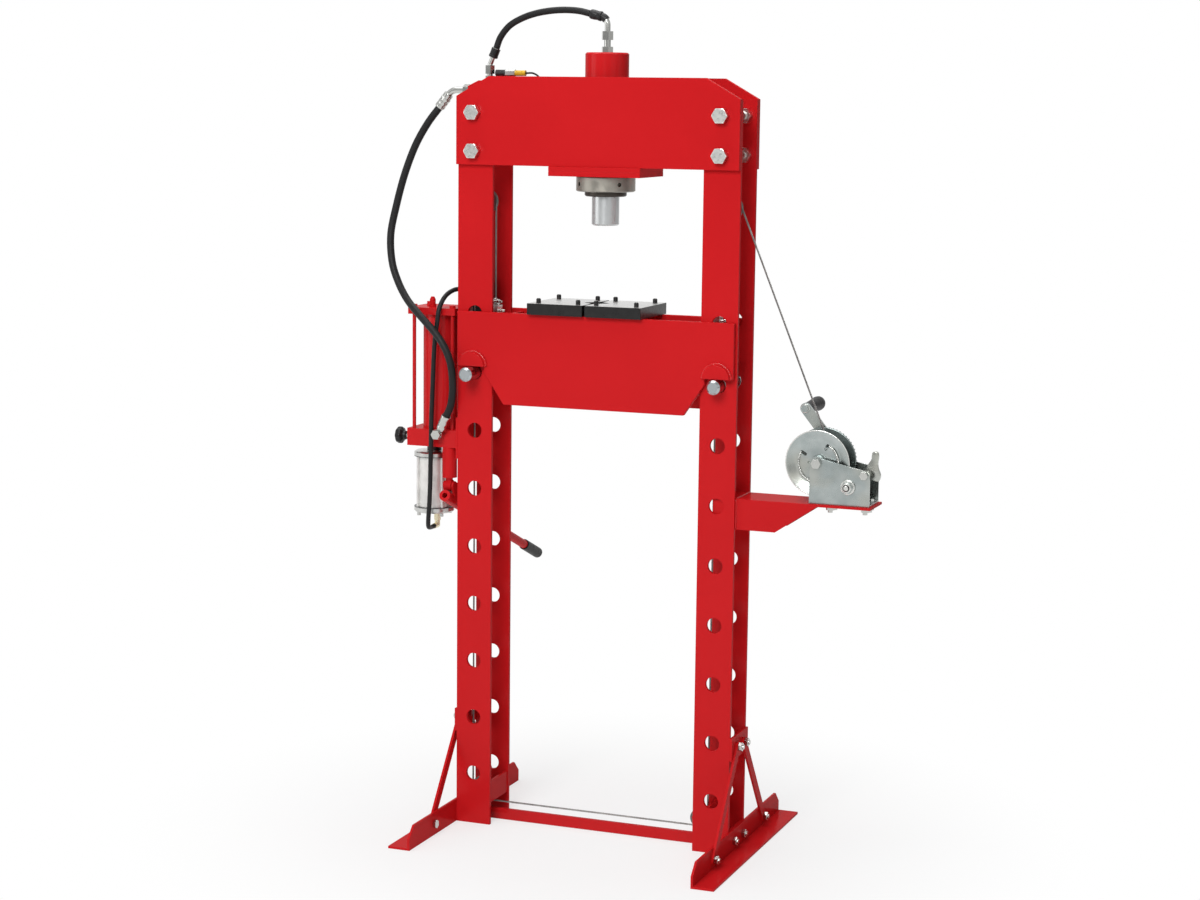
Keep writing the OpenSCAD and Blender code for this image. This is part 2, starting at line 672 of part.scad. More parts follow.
// Oil block in the head and the fittings of the hoses
left_port_z = 1601;
manifold_depth = 40;
manifold_left = 36;
manifold_right = 45;
manifold_cut_width = 25;
manifold_cut_height = 12;
port_nut = 16;
port_tube = 18;
module manifold() color("firebrick") difference() {
    plate_xz(-manifold_depth / 2, manifold_depth / 2) polygon([
        [manifold_x - manifold_left, manifold_seat],
        [manifold_x + manifold_right, manifold_seat],
        [manifold_x + manifold_right, manifold_top],
        [manifold_x - manifold_left + manifold_cut_width, manifold_top],
        [manifold_x - manifold_left, manifold_top - manifold_cut_height]
    ]);
    for (s = [-1, 1])
        bar_along_z(manifold_top - 10, manifold_top + 1, manifold_x + 20, s * 12, 8);
}
elbow_radius = 24;
module hydraulic_fittings() color("silver") {
    // left port: nut, bent tube and ferrule
    port_x = manifold_x - manifold_left;
    bend_x = port_x - port_nut - port_tube;
    hex_along_x(port_x - port_nut, port_x, 0, left_port_z, 22);
    bar_along_x(bend_x, port_x - port_nut, 0, left_port_z, 14);
    hose_down = unit(pump_hose_points[1] - pump_hose_points[0]);
    bend = 90 - asin(-hose_down[0]);
    translate([bend_x, 0, left_port_z - elbow_radius]) rotate([90, 0, 0]) rotate([0, 0, 90])
        rotate_extrude(angle = bend) translate([elbow_radius, 0]) circle(d = 14);
    tube_end = [
        bend_x - elbow_radius * sin(bend), 0, left_port_z - elbow_radius + elbow_radius * cos(bend)
    ];
    reach = norm(pump_hose_points[0] - tube_end);
    round_from(tube_end, hose_down, reach, pump_hose_diameter + 5);
    // ferrule and banjo on the pump
    pump_last = pump_hose_points[len(pump_hose_points) - 1];
    banjo = [pump_x + 21, block_front - 9, block_top - 8];
    round_from(pump_last, banjo - pump_last, norm(banjo - pump_last) - 14, pump_hose_diameter + 4);
    bar_along_y(block_front - 18, block_front, banjo[0], banjo[2], 22);
    round_from(banjo, pump_last - banjo, 14, 12);
    hex_along_y(block_front - 27, block_front - 18, banjo[0], banjo[2], 19);
    // ram top: nipple, swivel nut, bent tube and ferrule
    hex_along_z(cylinder_top, cylinder_top + 12, 0, 0, 22);
    bar_along_z(cylinder_top + 12, cylinder_top + 26, 0, 0, 14);
    hex_along_z(cylinder_top + 26, cylinder_top + 44, 0, 0, 22);
    bar_along_z(cylinder_top + 44, cylinder_top + 57, 0, 0, 12);
    ram_turn = unit(ram_hose_points[0] - ram_hose_points[1]);
    ram_bend = 90 - asin(-ram_turn[2]);
    translate([-18, 0, cylinder_top + 57]) rotate([90, 0, 0]) rotate_extrude(angle = ram_bend)
        translate([18, 0]) circle(d = 12);
    ram_tube = [-18 + 18 * cos(ram_bend), 0, cylinder_top + 57 + 18 * sin(ram_bend)];
    ram_gap = ram_tube - ram_hose_points[0];
    round_from(ram_hose_points[0], ram_gap, norm(ram_gap), ram_hose_diameter + 4);
    // ram hose end above the oil block
    hex_along_z(manifold_top, manifold_top + 10, manifold_x + 7, 0, 19);
    bar_along_z(manifold_top + 10, manifold_top + 14, manifold_x + 7, 0, 13);
    hex_along_z(manifold_top + 14, manifold_top + 32, manifold_x + 7, 0, 19);
    ram_last = ram_hose_points[len(ram_hose_points) - 1];
    ram_low = [manifold_x + 7, 0, manifold_top + 32];
    ram_rise = ram_last - ram_low;
    round_from(ram_low, ram_rise, 18, 11);
    round_from(ram_low + 18 * unit(ram_rise), ram_rise, norm(ram_rise) - 18, ram_hose_diameter + 4);
    // port of the lead on the ram cylinder
    bar_along_x(lead_points[len(lead_points) - 1][0], port_seat, 0, port_z, port_diameter);
}
coupler_rise = 16;
coupler_z = manifold_top + coupler_rise;
coupler_x = manifold_x + 22;
coupler_cap = 23;
coupler_nut = 21;
coupler_plug = 24;
module gauge_coupler() color("gold") translate([coupler_x, 0, 0]) {
    bar_along_z(manifold_top, coupler_z, coupler_cap - 11, 0, 8);
    bar_along_x(0, coupler_cap, 0, coupler_z, 14);
    hex_along_x(coupler_cap, coupler_cap + coupler_nut, 0, coupler_z, 14);
    bar_along_x(coupler_cap + coupler_nut, coupler_cap + coupler_nut + coupler_plug, 0, coupler_z, 12);
}
module gauge_lead() color("black") hose(lead_points, lead_diameter, 8, [0, 1, 0]);
module pump_hose() color("black") hose(pump_hose_points, pump_hose_diameter, 12, [0, 1, 0]);
module ram_hose() color("black") hose(ram_hose_points, ram_hose_diameter, 12, [0, 1, 0]);
module air_hose() color("black") hose(air_hose_points, air_hose_diameter, 10, [0.8, -0.6, 0]);

// Pump
module pump_bracket() color("firebrick") block(
    [-bracket_x, -bar_face, pump_block_z - 22],
    [-half_width, bar_face, block_top + 30]
);
filler_x = pump_x - 11;
filler_y = -20;
filler_diameter = 10;
plate_reach = 56;
plate_half_depth = 50;
module tank_plate() color("firebrick") difference() {
    block(
        [pump_x - plate_reach, -plate_half_depth, tank_top_z],
        [pump_x + plate_reach - 1, plate_half_depth, tank_top_z + tank_plate_thickness]
    );
    for (s = [-1, 1])
        for (t = [-1, 1])
            bar_along_z(tank_top_z - 1, tank_top_z + 30, pump_x + s * rod_dx, t * rod_dy, tie_rod_diameter);
    bar_along_z(tank_top_z - 1, tank_top_z + 30, filler_x, filler_y, filler_diameter);
}
module oil_tank() color("firebrick") difference() {
    bar_along_z(block_top, tank_top_z, pump_x, 0, tank_diameter);
    bar_along_z(block_top - 1, tank_top_z + 1, pump_x, 0, tank_diameter - 7);
}
module tank_rods() color("silver") {
    for (s = [-1, 1])
        for (t = [-1, 1]) {
            x = pump_x + s * rod_dx;
            y = t * rod_dy;
            bar_along_z(block_top, tank_top_z + tank_plate_thickness + 4, x, y, tie_rod_diameter);
            hex_along_z(tank_top_z + tank_plate_thickness, tank_top_z + tank_plate_thickness + 6, x, y, 13);
        }
}
module filler_plug() color("firebrick") {
    z = tank_top_z + tank_plate_thickness;
    translate([filler_x, filler_y, 0]) {
        bar_along_z(tank_top_z, z, 0, 0, filler_diameter);
        bar_along_z(z, z + 6, 0, 0, filler_diameter + 6);
        bar_along_z(z + 6, z + 16, 0, 0, filler_diameter + 3);
        translate([0, 0, z + 16]) cylinder(d1 = filler_diameter + 3, d2 = filler_diameter - 3, h = 6);
    }
}
module pump_block() color("firebrick") difference() {
    union() {
        block(
            [block_left, block_front, pump_block_z],
            [-bracket_x, block_front + pump_block_depth, block_top]
        );
        for (s = [-1, 1])
            plate_yz(
                lever_x + (s < 0 ? -hanger_outer : hanger_inner),
                lever_x + (s < 0 ? -hanger_inner : hanger_outer)
            )
                union() {
                    translate([fulcrum_y - 9, fulcrum_z]) square([18, pump_block_z - fulcrum_z]);
                    translate([fulcrum_y, fulcrum_z]) circle(d = 18);
                }
    }
    bar_along_x(lever_x - 20, lever_x + 20, fulcrum_y, fulcrum_z, lever_pin_diameter);
    bar_along_z(pump_block_z - 1, pump_block_z + 30, lever_x, plunger_y, plunger_diameter + 2 * running_gap);
    bar_along_x(block_left - 1, block_left + 24, 0, pump_block_z + 14, 10 + 2 * running_gap);
}
module plunger_cylinder() color("firebrick") difference() {
    bar_along_z(plunger_end_z, pump_block_z, lever_x, plunger_y, plunger_cylinder_diameter);
    bar_along_z(plunger_end_z - 1, pump_block_z + 1, lever_x, plunger_y, plunger_diameter + 2 * running_gap);
}
module plunger() color("silver") difference() {
    union() {
        bar_along_z(plunger_pin_z, pump_block_z + 24, lever_x, plunger_y, plunger_diameter);
        bar_along_x(lever_x - 7, lever_x + 7, plunger_y, plunger_pin_z, 23);
    }
    slot = 3.2;
    for (y = [-slot, slot])
        bar_along_x(lever_x - 8, lever_x + 8, plunger_y + y, plunger_pin_z, lever_pin_diameter + 1.4);
    block(
        [lever_x - 8, plunger_y - slot, plunger_pin_z - lever_pin_diameter / 2 - 0.7],
        [lever_x + 8, plunger_y + slot, plunger_pin_z + lever_pin_diameter / 2 + 0.7]
    );
}
handle_reach = 575;
grip_reach = 96;
socket_reach = 112;
handle_root = 100;
module pump_lever() color("firebrick") {
    dir = [0, cos(handle_slope), -sin(handle_slope)];
    start = [lever_x, socket_y, socket_z];
    difference() {
        union() {
            round_from(start, dir, socket_reach, socket_diameter);
            round_from(start + handle_root * dir, dir, handle_reach - handle_root - grip_wall, handle_diameter);
            for (s = [-1, 1])
                plate_yz(
                    lever_x + (s < 0 ? -cheek_outer : cheek_inner),
                    lever_x + (s < 0 ? -cheek_inner : cheek_outer)
                )
                    hull() {
                        translate([plunger_y, plunger_pin_z]) circle(d = 18, $fn = 32);
                        translate([fulcrum_y, fulcrum_z]) circle(d = 18, $fn = 32);
                        translate([socket_y + 40, socket_z - 16]) circle(d = 14, $fn = 32);
                        translate([socket_y + 66, socket_z - 27]) circle(d = 14, $fn = 32);
                    }
        }
        round_from(start - 1 * dir, dir, 30, 12);
    }
    bar_along_x(lever_x - cheek_outer, lever_x + cheek_outer, plunger_y, plunger_pin_z, lever_pin_diameter);
    bar_along_x(
        lever_x - hanger_outer, lever_x + hanger_outer, fulcrum_y, fulcrum_z,
        lever_pin_diameter - 2 * running_gap
    );
}
grip_wall = 4;
module handle_grip() color("black") {
    dir = [0, cos(handle_slope), -sin(handle_slope)];
    start = [lever_x, socket_y, socket_z];
    r = grip_diameter / 2;
    translate(start + (handle_reach - grip_reach) * dir) rotate([0, 90 + handle_slope, 90]) rotate_extrude()
        polygon([
            [handle_diameter / 2, 0],
            [r - 1, 0],
            [r, 1],
            [r, grip_reach - 6],
            [r - 4, grip_reach],
            [0, grip_reach],
            [0, grip_reach - grip_wall],
            [handle_diameter / 2, grip_reach - grip_wall]
        ]);
}
knob_z = pump_block_z + 14;
knob_face = block_left - 22;
module release_knob() color("black") {
    bar_along_x(knob_face, block_left + 20, 0, knob_z, 10);
    r = knob_diameter / 2;
    difference() {
        translate([knob_face, 0, knob_z]) rotate([0, -90, 0]) rotate_extrude() polygon([
            [0, 0],
            [r * 0.55, 0],
            [r * 0.55, 4],
            [r * 0.8, 7],
            [r - 1, 9],
            [r, 11],
            [r, 19],
            [r - 2, 22.5],
            [r - 6, 25],
            [0, 25]
        ]);
        for (a = [0 : 45 : 315])
            translate([knob_face - 26, 0, knob_z]) rotate([a, 0, 0]) translate([0, 0, r + 2.6])
                rotate([0, 90, 0]) cylinder(d = 10, h = 20);
    }
}
module air_motor() color("lightgray") {
    r = motor_diameter / 2;
    bar_along_z(motor_top, pump_block_z, motor_x, motor_y, 32);
    bar_along_z(motor_bottom + motor_cap, motor_top - motor_cap, motor_x, motor_y, motor_diameter - 13);
    for (a = [50, 140, 230, 320])
        bar_along_z(
            motor_bottom + motor_cap, motor_top - motor_cap,
            motor_x + (r - 4.5) * cos(a), motor_y + (r - 4.5) * sin(a), 6
        );
    translate([motor_x, motor_y, motor_top - motor_cap]) rotate_extrude() polygon([
        [0, 0], [r, 0], [r, motor_cap - 3], [r - 4, motor_cap], [0, motor_cap]
    ]);
    translate([motor_x, motor_y, motor_bottom]) rotate_extrude() polygon([
        [0, 0], [r - 3, 0], [r, 3], [r, motor_cap], [0, motor_cap]
    ]);
    for (a = [50, 140, 230, 320])
        hex_along_z(
            motor_bottom - 7, motor_bottom, motor_x + (r - 7) * cos(a), motor_y + (r - 7) * sin(a), 8
        );
}
elbow_x = motor_x + 12;
elbow_y = motor_y - 10;
elbow_drop = 29;
elbow_z = motor_bottom - elbow_drop;
module air_elbow() color("goldenrod") {
    hex_along_z(elbow_z + 12, motor_bottom, elbow_x, elbow_y, 14);
    bar_along_z(elbow_z, elbow_z + 12, elbow_x, elbow_y, 12);
    translate([elbow_x, elbow_y, elbow_z]) sphere(d = 12);
    bar_along_y(elbow_y - 18, elbow_y, elbow_x, elbow_z, 12);
}
valve_inset = 2;
valve_width = 38;
valve_depth = 30;
valve_rise = 83.9;
valve_low = foot_seat + valve_rise;
valve_height = 88;
valve_button = 12;
module air_valve() color("black") {
    valve_x = valve_inset - half_width;
    block(
        [valve_x, bar_back - valve_depth, valve_low],
        [valve_x + valve_width, bar_back, valve_low + valve_height]
    );
    bar_along_z(
        valve_low + valve_height, valve_low + valve_height + valve_button,
        valve_x + valve_width / 2, bar_back - valve_depth / 2, 14
    );
}

// Bed
module bed_plate(y0) {
    half = bed_length / 2;
    plate_xz(y0, y0 + bed_thickness) polygon([
        [-half, foot_seat],
        [-half + bed_foot, foot_seat],
        [-half + bed_foot, foot_seat - bed_step],
        [-half + bed_foot + bed_slope, bed_bottom],
        [half - bed_foot - bed_slope, bed_bottom],
        [half - bed_foot, foot_seat - bed_step],
        [half - bed_foot, foot_seat],
        [half, foot_seat],
        [half, bed_top],
        [-half, bed_top]
    ]);
}
module saddle(x, y0, y1) {
    translate([x, y1, foot_seat]) rotate([90, 0, 0]) linear_extrude(y1 - y0) intersection() {
        circle(r = saddle_radius);
        translate([-saddle_radius, 0]) square([2 * saddle_radius, saddle_radius]);
    }
}
module bed_front() color("firebrick") {
    bed_plate(-bed_outer);
    for (s = [-1, 1])
        saddle(s * bar_middle, -bed_outer - saddle_thickness, -bed_outer);
}
module bed_rear() color("firebrick") {
    bed_plate(bed_inner);
    for (s = [-1, 1])
        saddle(s * bar_middle, bed_outer, bed_outer + saddle_thickness);
}
spacer_inset = 22;
spacer_x = bar_inner - spacer_inset;
spacer_rod_x = 90;
spacer_rod = 34;
spacer_thickness = 10;
module bed_spacers() color("firebrick") {
    for (s = [-1, 1])
        block(
            [s * spacer_x - spacer_thickness / 2, -bed_inner, bed_bottom + 36],
            [s * spacer_x + spacer_thickness / 2, bed_inner, bed_top - 6]
        );
    for (x = [-spacer_rod_x, spacer_rod_x])
        bar_along_y(-bed_inner, bed_inner, x, bed_bottom + 60, spacer_rod);
}
clip_width = 26;
clip_reach = 10;
clip_foot = 12;
clip_foot_height = 10;
clip_bolt_reach = 18;
clip_bolt = 6;
clip_bolt_spread = 8;
clip_bolt_drop = 2;
clip_bore_drop = 40;
module bed_clip(x, s) {
    difference() {
        union() {
            block(
                [
                    min(x + s * clip_foot, s * (spacer_x + spacer_thickness / 2)),
                    -clip_width / 2,
                    bed_top - clip_foot - clip_foot_height
                ],
                [
                    max(x + s * clip_foot, s * (spacer_x + spacer_thickness / 2)),
                    clip_width / 2,
                    bed_top - clip_foot
                ]
            );
            block(
                [x - clip_reach, -clip_width / 2, bed_top - clip_foot],
                [x + clip_reach, clip_width / 2, clip_top - clip_bolt_spread]
            );
            for (y = [-clip_bolt_spread, clip_bolt_spread])
                bar_along_x(
                    x - clip_bolt_reach, x + clip_bolt_reach, y, bed_top - clip_bolt_drop, clip_bolt
                );
        }
        bar_along_z(bed_top - clip_bore_drop, clip_top + 1, x, 0, cable_diameter + 1);
    }
}
module bed_clips() color("silver") {
    bed_clip(drop_x, -1);
    bed_clip(right_run, 1);
}
peg_dx = 45;
peg_dy = 57;
peg_chamfer = 2;
module peg(x, y) {
    bar_along_z(arbor_top, arbor_top + peg_height - peg_chamfer, x, y, peg_diameter);
    translate([x, y, arbor_top + peg_height - peg_chamfer])
        cylinder(d1 = peg_diameter, d2 = peg_diameter - 2 * peg_chamfer, h = peg_chamfer);
}
// An arbor plate from its outer end at x0 to the notched end at x1
module arbor_plate(x0, x1) {
    notch = notch_depth * tan(notch_half_angle);
    tip = x1 + (x0 < x1 ? -notch_depth : notch_depth);
    mid = (x0 + x1) / 2;
    d = arbor_depth / 2;
    translate([0, 0, bed_top]) linear_extrude(arbor_thickness) polygon([
        [x0, -d],
        [x1, -d],
        [x1, -notch],
        [tip, 0],
        [x1, notch],
        [x1, d],
        [x0, d]
    ]);
    for (s = [-1, 1])
        for (t = [-1, 1])
            peg(mid + s * peg_dx, t * peg_dy);
}
left_arbor_end = arbor_centre_x - arbor_gap / 2;
right_arbor_end = arbor_centre_x + arbor_gap / 2;
module arbor_left() color("black") arbor_plate(left_arbor_end - arbor_width, left_arbor_end);
module arbor_right() color("black") arbor_plate(right_arbor_end + arbor_width, right_arbor_end);
pin_bevel = 4;
module bed_pin(x, y0) {
    r = pin_diameter / 2;
    translate([x, y0 + pin_length, pin_z]) rotate([90, 0, 0]) rotate_extrude() polygon([
        [0, 0],
        [r - pin_bevel, 0],
        [r, pin_bevel],
        [r, pin_length - pin_bevel],
        [r - pin_bevel, pin_length],
        [0, pin_length]
    ]);
}
left_pin_front = -bed_outer - left_pin_out;
right_pin_front = -bed_outer - right_pin_out;
module left_pin() color("silver") bed_pin(-bar_middle, left_pin_front);
module right_pin() color("silver") bed_pin(bar_middle, right_pin_front);

// Winch arm: a folded sheet with tapered sides
arm_reach = 118;
arm_root = 50;
arm_height = 65;
arm_side = 86;
arm_slope = 89;
arm_end = drum_x + arm_reach;
arm_start = half_width - arm_root;
arm_low = arm_top - arm_height;
arm_knee = half_width + arm_side;
arm_taper = arm_knee + arm_slope;
winch_left = drum_x - 15;
winch_right = arm_end - 5;
module winch_arm() color("firebrick") difference() {
    union() {
        block([arm_start, -bar_back, arm_top - arm_thickness], [arm_end, bar_back, arm_top]);
        for (y = [-bar_back, bar_back - arm_thickness])
            plate_xz(y, y + arm_thickness) polygon([
                [arm_start, arm_low],
                [arm_knee, arm_low],
                [arm_taper, arm_top - arm_thickness],
                [arm_taper, arm_top],
                [arm_start, arm_top]
            ]);
    }
    for (x = winch_bolt_x)
        for (y = [-18, 18])
            bar_along_z(arm_top - 20, arm_top + 1, x, y, winch_bolt);
}
winch_bolt = 10;
winch_bolt_x = [winch_left + 41, winch_right - 13];
module winch_side(y0) {
    difference() {
        plate_xz(y0, y0 + winch_plate) union() {
            polygon([
                [winch_left, arm_top],
                [winch_right, arm_top],
                [winch_right, pawl_z + 3],
                [winch_right - 8, pawl_z + 9],
                [drum_x + 6, drum_z + 11],
                [winch_left, drum_z]
            ]);
            translate([drum_x, drum_z]) circle(r = 15);
        }
        bar_along_y(y0 - 1, y0 + 9, drum_x, drum_z, drum_shaft);
        bar_along_y(y0 - 1, y0 + 9, drive_x, drive_z, drive_shaft_diameter + 2 * running_gap);
        bar_along_y(y0 - 1, y0 + 9, pawl_x, pawl_z, 10);
    }
}
module winch_frame() color("silver") difference() {
    union() {
        winch_side(-side_outer);
        winch_side(side_inner);
        block([winch_left, -side_outer, arm_top], [winch_right, side_outer, winch_floor]);
    }
    for (x = winch_bolt_x)
        for (y = [-18, 18])
            bar_along_z(arm_top - 1, winch_floor + 1, x, y, winch_bolt);
}
module winch_bolts() color("silver") {
    // shaft of the drum, with its head and nut
    bar_along_y(-side_outer - 2, side_outer + 2, drum_x, drum_z, drum_shaft);
    hex_along_y(-side_outer - 9, -side_outer, drum_x, drum_z, 19);
    hex_along_y(side_outer, side_outer + 9, drum_x, drum_z, 19);
    // shaft of the pawl
    bar_along_y(-side_outer - 5, side_outer + 5, pawl_x, pawl_z, 10);
    hex_along_y(-side_outer - 6, -side_outer, pawl_x, pawl_z, 16);
    hex_along_y(side_outer, side_outer + 6, pawl_x, pawl_z, 16);
    // bolts through the base
    for (x = winch_bolt_x)
        for (y = [-18, 18]) {
            bar_along_z(arm_top - arm_thickness - 14, winch_floor + 2, x, y, winch_bolt);
            hex_along_z(arm_top - arm_thickness - 9, arm_top - arm_thickness, x, y, 16);
            hex_along_z(winch_floor, winch_floor + 6, x, y, 16);
        }
}

// Gear teeth on involute flanks
function inv(a) = tan(a) * 180 / PI - a;
function flank_angle(r, base, pitch_r, half) =
    half + inv(pressure_angle) - inv(acos(min(1, base / r)));
module gear_outline(teeth) {
    pitch_r = gear_module * teeth / 2;
    base = pitch_r * cos(pressure_angle);
    tip = pitch_r + gear_module;
    root = pitch_r - 1.2 * gear_module;
    half = 90 / teeth - gear_backlash / 4 / pitch_r * 180 / PI;
    low = max(base, root) + 0.01;
    radii = [low, low + (tip - low) * 0.35, low + (tip - low) * 0.7, tip];
    angles = [for (r = radii) flank_angle(r, base, pitch_r, half)];
    tooth = concat(
        [[root, -angles[0] - 0.4]],
        [for (k = [0 : 3]) [radii[k], -angles[k]]],
        [for (k = [3 : -1 : 0]) [radii[k], angles[k]]],
        [[root, angles[0] + 0.4]]
    );
    polygon([
        for (t = [0 : teeth - 1])
            for (c = tooth)
                c[0] * [cos(c[1] + 360 * t / teeth), sin(c[1] + 360 * t / teeth)]
    ]);
}
gear_front = 22;
gear_back = 30;
drum_bore = drum_shaft + 2 * running_gap;
rear_flange = gear_module * (drum_teeth / 2 + 1) + 0.5;
pinion_gap = 0.5;
drum_front = side_inner - 1;
dish_radius = 46;
dish_back = 22;
dish_sheet = 3;
module drum() color("silver") translate([drum_x, 0, drum_z]) difference() {
    union() {
        // dished front flange, core and hub
        rotate([90, 0, 0]) rotate_extrude() polygon([
            [drum_bore / 2, -gear_back],
            [14, -gear_back],
            [14, -gear_front],
            [rear_flange, -gear_front],
            [rear_flange, -gear_front + 2],
            [rear_flange - 2, -gear_front + 3.5],
            [drum_core_diameter / 2, -gear_front + 3.5],
            [drum_core_diameter / 2, dish_back],
            [dish_radius + 1, dish_back],
            [flange_diameter / 2 - 2, drum_front - 4],
            [flange_diameter / 2, drum_front - 2.5],
            [flange_diameter / 2, drum_front],
            [flange_diameter / 2 - 2.5, drum_front],
            [dish_radius, dish_back + dish_sheet],
            [16, dish_back + dish_sheet],
            [14, drum_front],
            [drum_bore / 2, drum_front]
        ]);
        // toothed rear flange, a tooth on the line to the pinion
        translate([0, gear_back, 0]) rotate([90, 0, 0]) linear_extrude(gear_back - gear_front)
            rotate(gear_angle) difference() {
                gear_outline(drum_teeth);
                circle(r = 13);
            }
        // cable wound on the core
        for (y = [-17, -12.7, -8.5, -4.4, 4.4, 8.5, 12.7, 17])
            translate([0, y, 0]) rotate([90, 0, 0]) rotate_extrude()
                translate([drum_core_diameter / 2 + cable_r - 0.3, 0]) circle(d = cable_diameter, $fn = 16);
    }
    // slots of the cable clamp and a small hole in the flange
    for (a = [62, 150])
        rotate([0, -a, 0]) {
            bar_along_y(-40, -20, 33, 0, 7);
            bar_along_y(-40, -20, 41, 0, 7);
            block([33, -40, -3.5], [41, -20, 3.5]);
        }
    rotate([0, -180, 0]) bar_along_y(-40, -20, 20.5, 0, 5);
    rotate([0, -245, 0]) bar_along_y(-40, -20, 38, 0, 9);
    rotate([0, -310, 0]) bar_along_y(-40, -20, 38, 0, 9);
}

// Drive shaft with pinion, ratchet wheel and crank arm
ratchet_front = -16;
ratchet_back = -8;
grip_bolt = 8;
grip_length = 96;
grip_start = crank_y + crank_thickness + 0.5;
module crank() color("silver") {
    translate([drive_x, 0, drive_z]) {
        bar_along_y(-side_outer - 8, crank_y + crank_thickness + 5, 0, 0, drive_shaft_diameter);
        translate([0, gear_back + 1, 0]) rotate([90, 0, 0])
            linear_extrude(gear_back - gear_front + 1 - pinion_gap)
            rotate(gear_angle + 180 + 180 / pinion_teeth) gear_outline(pinion_teeth);
        translate([0, ratchet_back, 0]) rotate([90, 0, 0]) linear_extrude(ratchet_back - ratchet_front)
            polygon([
                for (t = [0 : ratchet_teeth - 1])
                    for (c = [[ratchet_radius - 5, 0], [ratchet_radius, 3], [ratchet_radius, 8]])
                        c[0] * [
                            cos(c[1] + 360 * t / ratchet_teeth),
                            sin(c[1] + 360 * t / ratchet_teeth)
                        ]
            ]);
        bar_along_y(-side_outer - 4, -side_outer - 0.5, 0, 0, 30);
        hex_along_y(-side_outer - 12, -side_outer - 4, 0, 0, 22);
        bar_along_y(side_outer + 0.5, crank_y, 0, 0, 24);
        hex_along_y(crank_y + crank_thickness, crank_y + crank_thickness + 9, 0, 0, 22);
        translate([0, crank_y + crank_thickness, 0]) rotate([90, 0, 0]) linear_extrude(crank_thickness)
            rotate(crank_angle) union() {
                translate([0, -crank_width / 2]) square([crank_length, crank_width]);
                circle(d = crank_width);
                translate([crank_length, 0]) circle(d = crank_width);
            }
    }
    bar_along_y(crank_y - 3, grip_start + grip_length + 0.5, grip_x, grip_z, grip_bolt);
    hex_along_y(crank_y - 7, crank_y, grip_x, grip_z, 14);
    bar_along_y(grip_start + grip_length + 0.5, grip_start + grip_length + 4, grip_x, grip_z, 14);
}
module crank_grip() color("black") translate([grip_x, grip_start, grip_z]) rotate([-90, 0, 0])
    rotate_extrude() polygon([
        [grip_bolt / 2 + running_gap, 0],
        [10, 0],
        [11.5, 2],
        [11, 12],
        [13, 50],
        [15.5, 82],
        [15, 91],
        [12, grip_length],
        [grip_bolt / 2 + running_gap, grip_length]
    ]);

// Pawl: its nose points at the ratchet wheel, its lever stands up
module pawl() color("silver") difference() {
    nose = gear_pawl_reach - ratchet_radius - 0.7;
    to_wheel = atan2(drive_z - pawl_z, drive_x - pawl_x);
    plate_xz(ratchet_front, ratchet_back) translate([pawl_x, pawl_z]) union() {
        circle(r = 9);
        rotate(to_wheel) polygon([[0, -8], [nose - 6, -4], [nose, -1], [nose, 3], [nose - 8, 7], [0, 8]]);
        polygon([
            [-6, 4], [6, -7], [22, -6], [27, 2], [25, 14], [24, 40],
            [21, 47], [14, 47.5], [11, 42], [9, 22], [3, 12]
        ]);
    }
    bar_along_y(ratchet_front - 1, ratchet_back + 1, pawl_x, pawl_z, 10 + 2 * running_gap);
}
gear_pawl_reach = norm([drive_x - pawl_x, drive_z - pawl_z]);

// Cable: from the drum over the pulleys and up to the left top pulley
function cable_arc(x, z, radius, start, turn) = [
    for (i = [0 : cable_steps(turn)])
        [x, 0, z] + radius * [
            cos(start + turn * i / cable_steps(turn)), 0, sin(start + turn * i / cable_steps(turn))
        ]
];
function cable_steps(turn) = ceil(abs(turn) / 15);
module lift_cable() color("gray") {
    low = [drum_x + drum_wrap * cos(run_angle), 0, drum_z + drum_wrap * sin(run_angle)];
    route = concat(
        [low],
        cable_arc(bar_middle, top_pulley_z, pulley_radius, run_angle, 180 - run_angle),
        cable_arc(right_floor_x, right_floor_z, small_pulley_radius, 0, -90),
        cable_arc(-bar_middle, floor_pulley_z, pulley_radius, 270, -90),
        cable_arc(-bar_middle, top_pulley_z, pulley_radius, 180, -180)
    );
    hose(route, cable_diameter, 8, [0, 1, 0]);
}
module cable_drop() color("gray") bar_along_z(bed_top - 30, top_pulley_z, drop_x, 0, cable_diameter);

// Pulleys and their axles
module pulley(x, z, radius) {
    rim = radius + 3;
    floor_r = radius - cable_r - cable_clear;
    w = pulley_width / 2;
    translate([x, 0, z]) rotate([90, 0, 0]) rotate_extrude() polygon([
        [axle_diameter / 2 + running_gap, -w],
        [rim, -w],
        [rim, -w + 1.2],
        [floor_r, -cable_r * 0.7],
        [floor_r, cable_r * 0.7],
        [rim, w - 1.2],
        [rim, w],
        [axle_diameter / 2 + running_gap, w]
    ]);
}
module top_right_pulley() color("dimgray") pulley(bar_middle, top_pulley_z, pulley_radius);
module top_left_pulley() color("dimgray") pulley(-bar_middle, top_pulley_z, pulley_radius);
module floor_right_pulley() color("dimgray") pulley(right_floor_x, right_floor_z, small_pulley_radius);
module floor_left_pulley() color("dimgray") pulley(-bar_middle, floor_pulley_z, pulley_radius);
module pulley_axles() color("silver") {
    for (x = [-bar_middle, bar_middle])
        bar_along_y(-bar_back, bar_back, x, top_pulley_z, axle_diameter);
    bar_along_y(-bar_back, bar_back, -bar_middle, floor_pulley_z, axle_diameter);
    bar_along_y(-lug_outer, lug_outer, right_floor_x, right_floor_z, axle_diameter);
}

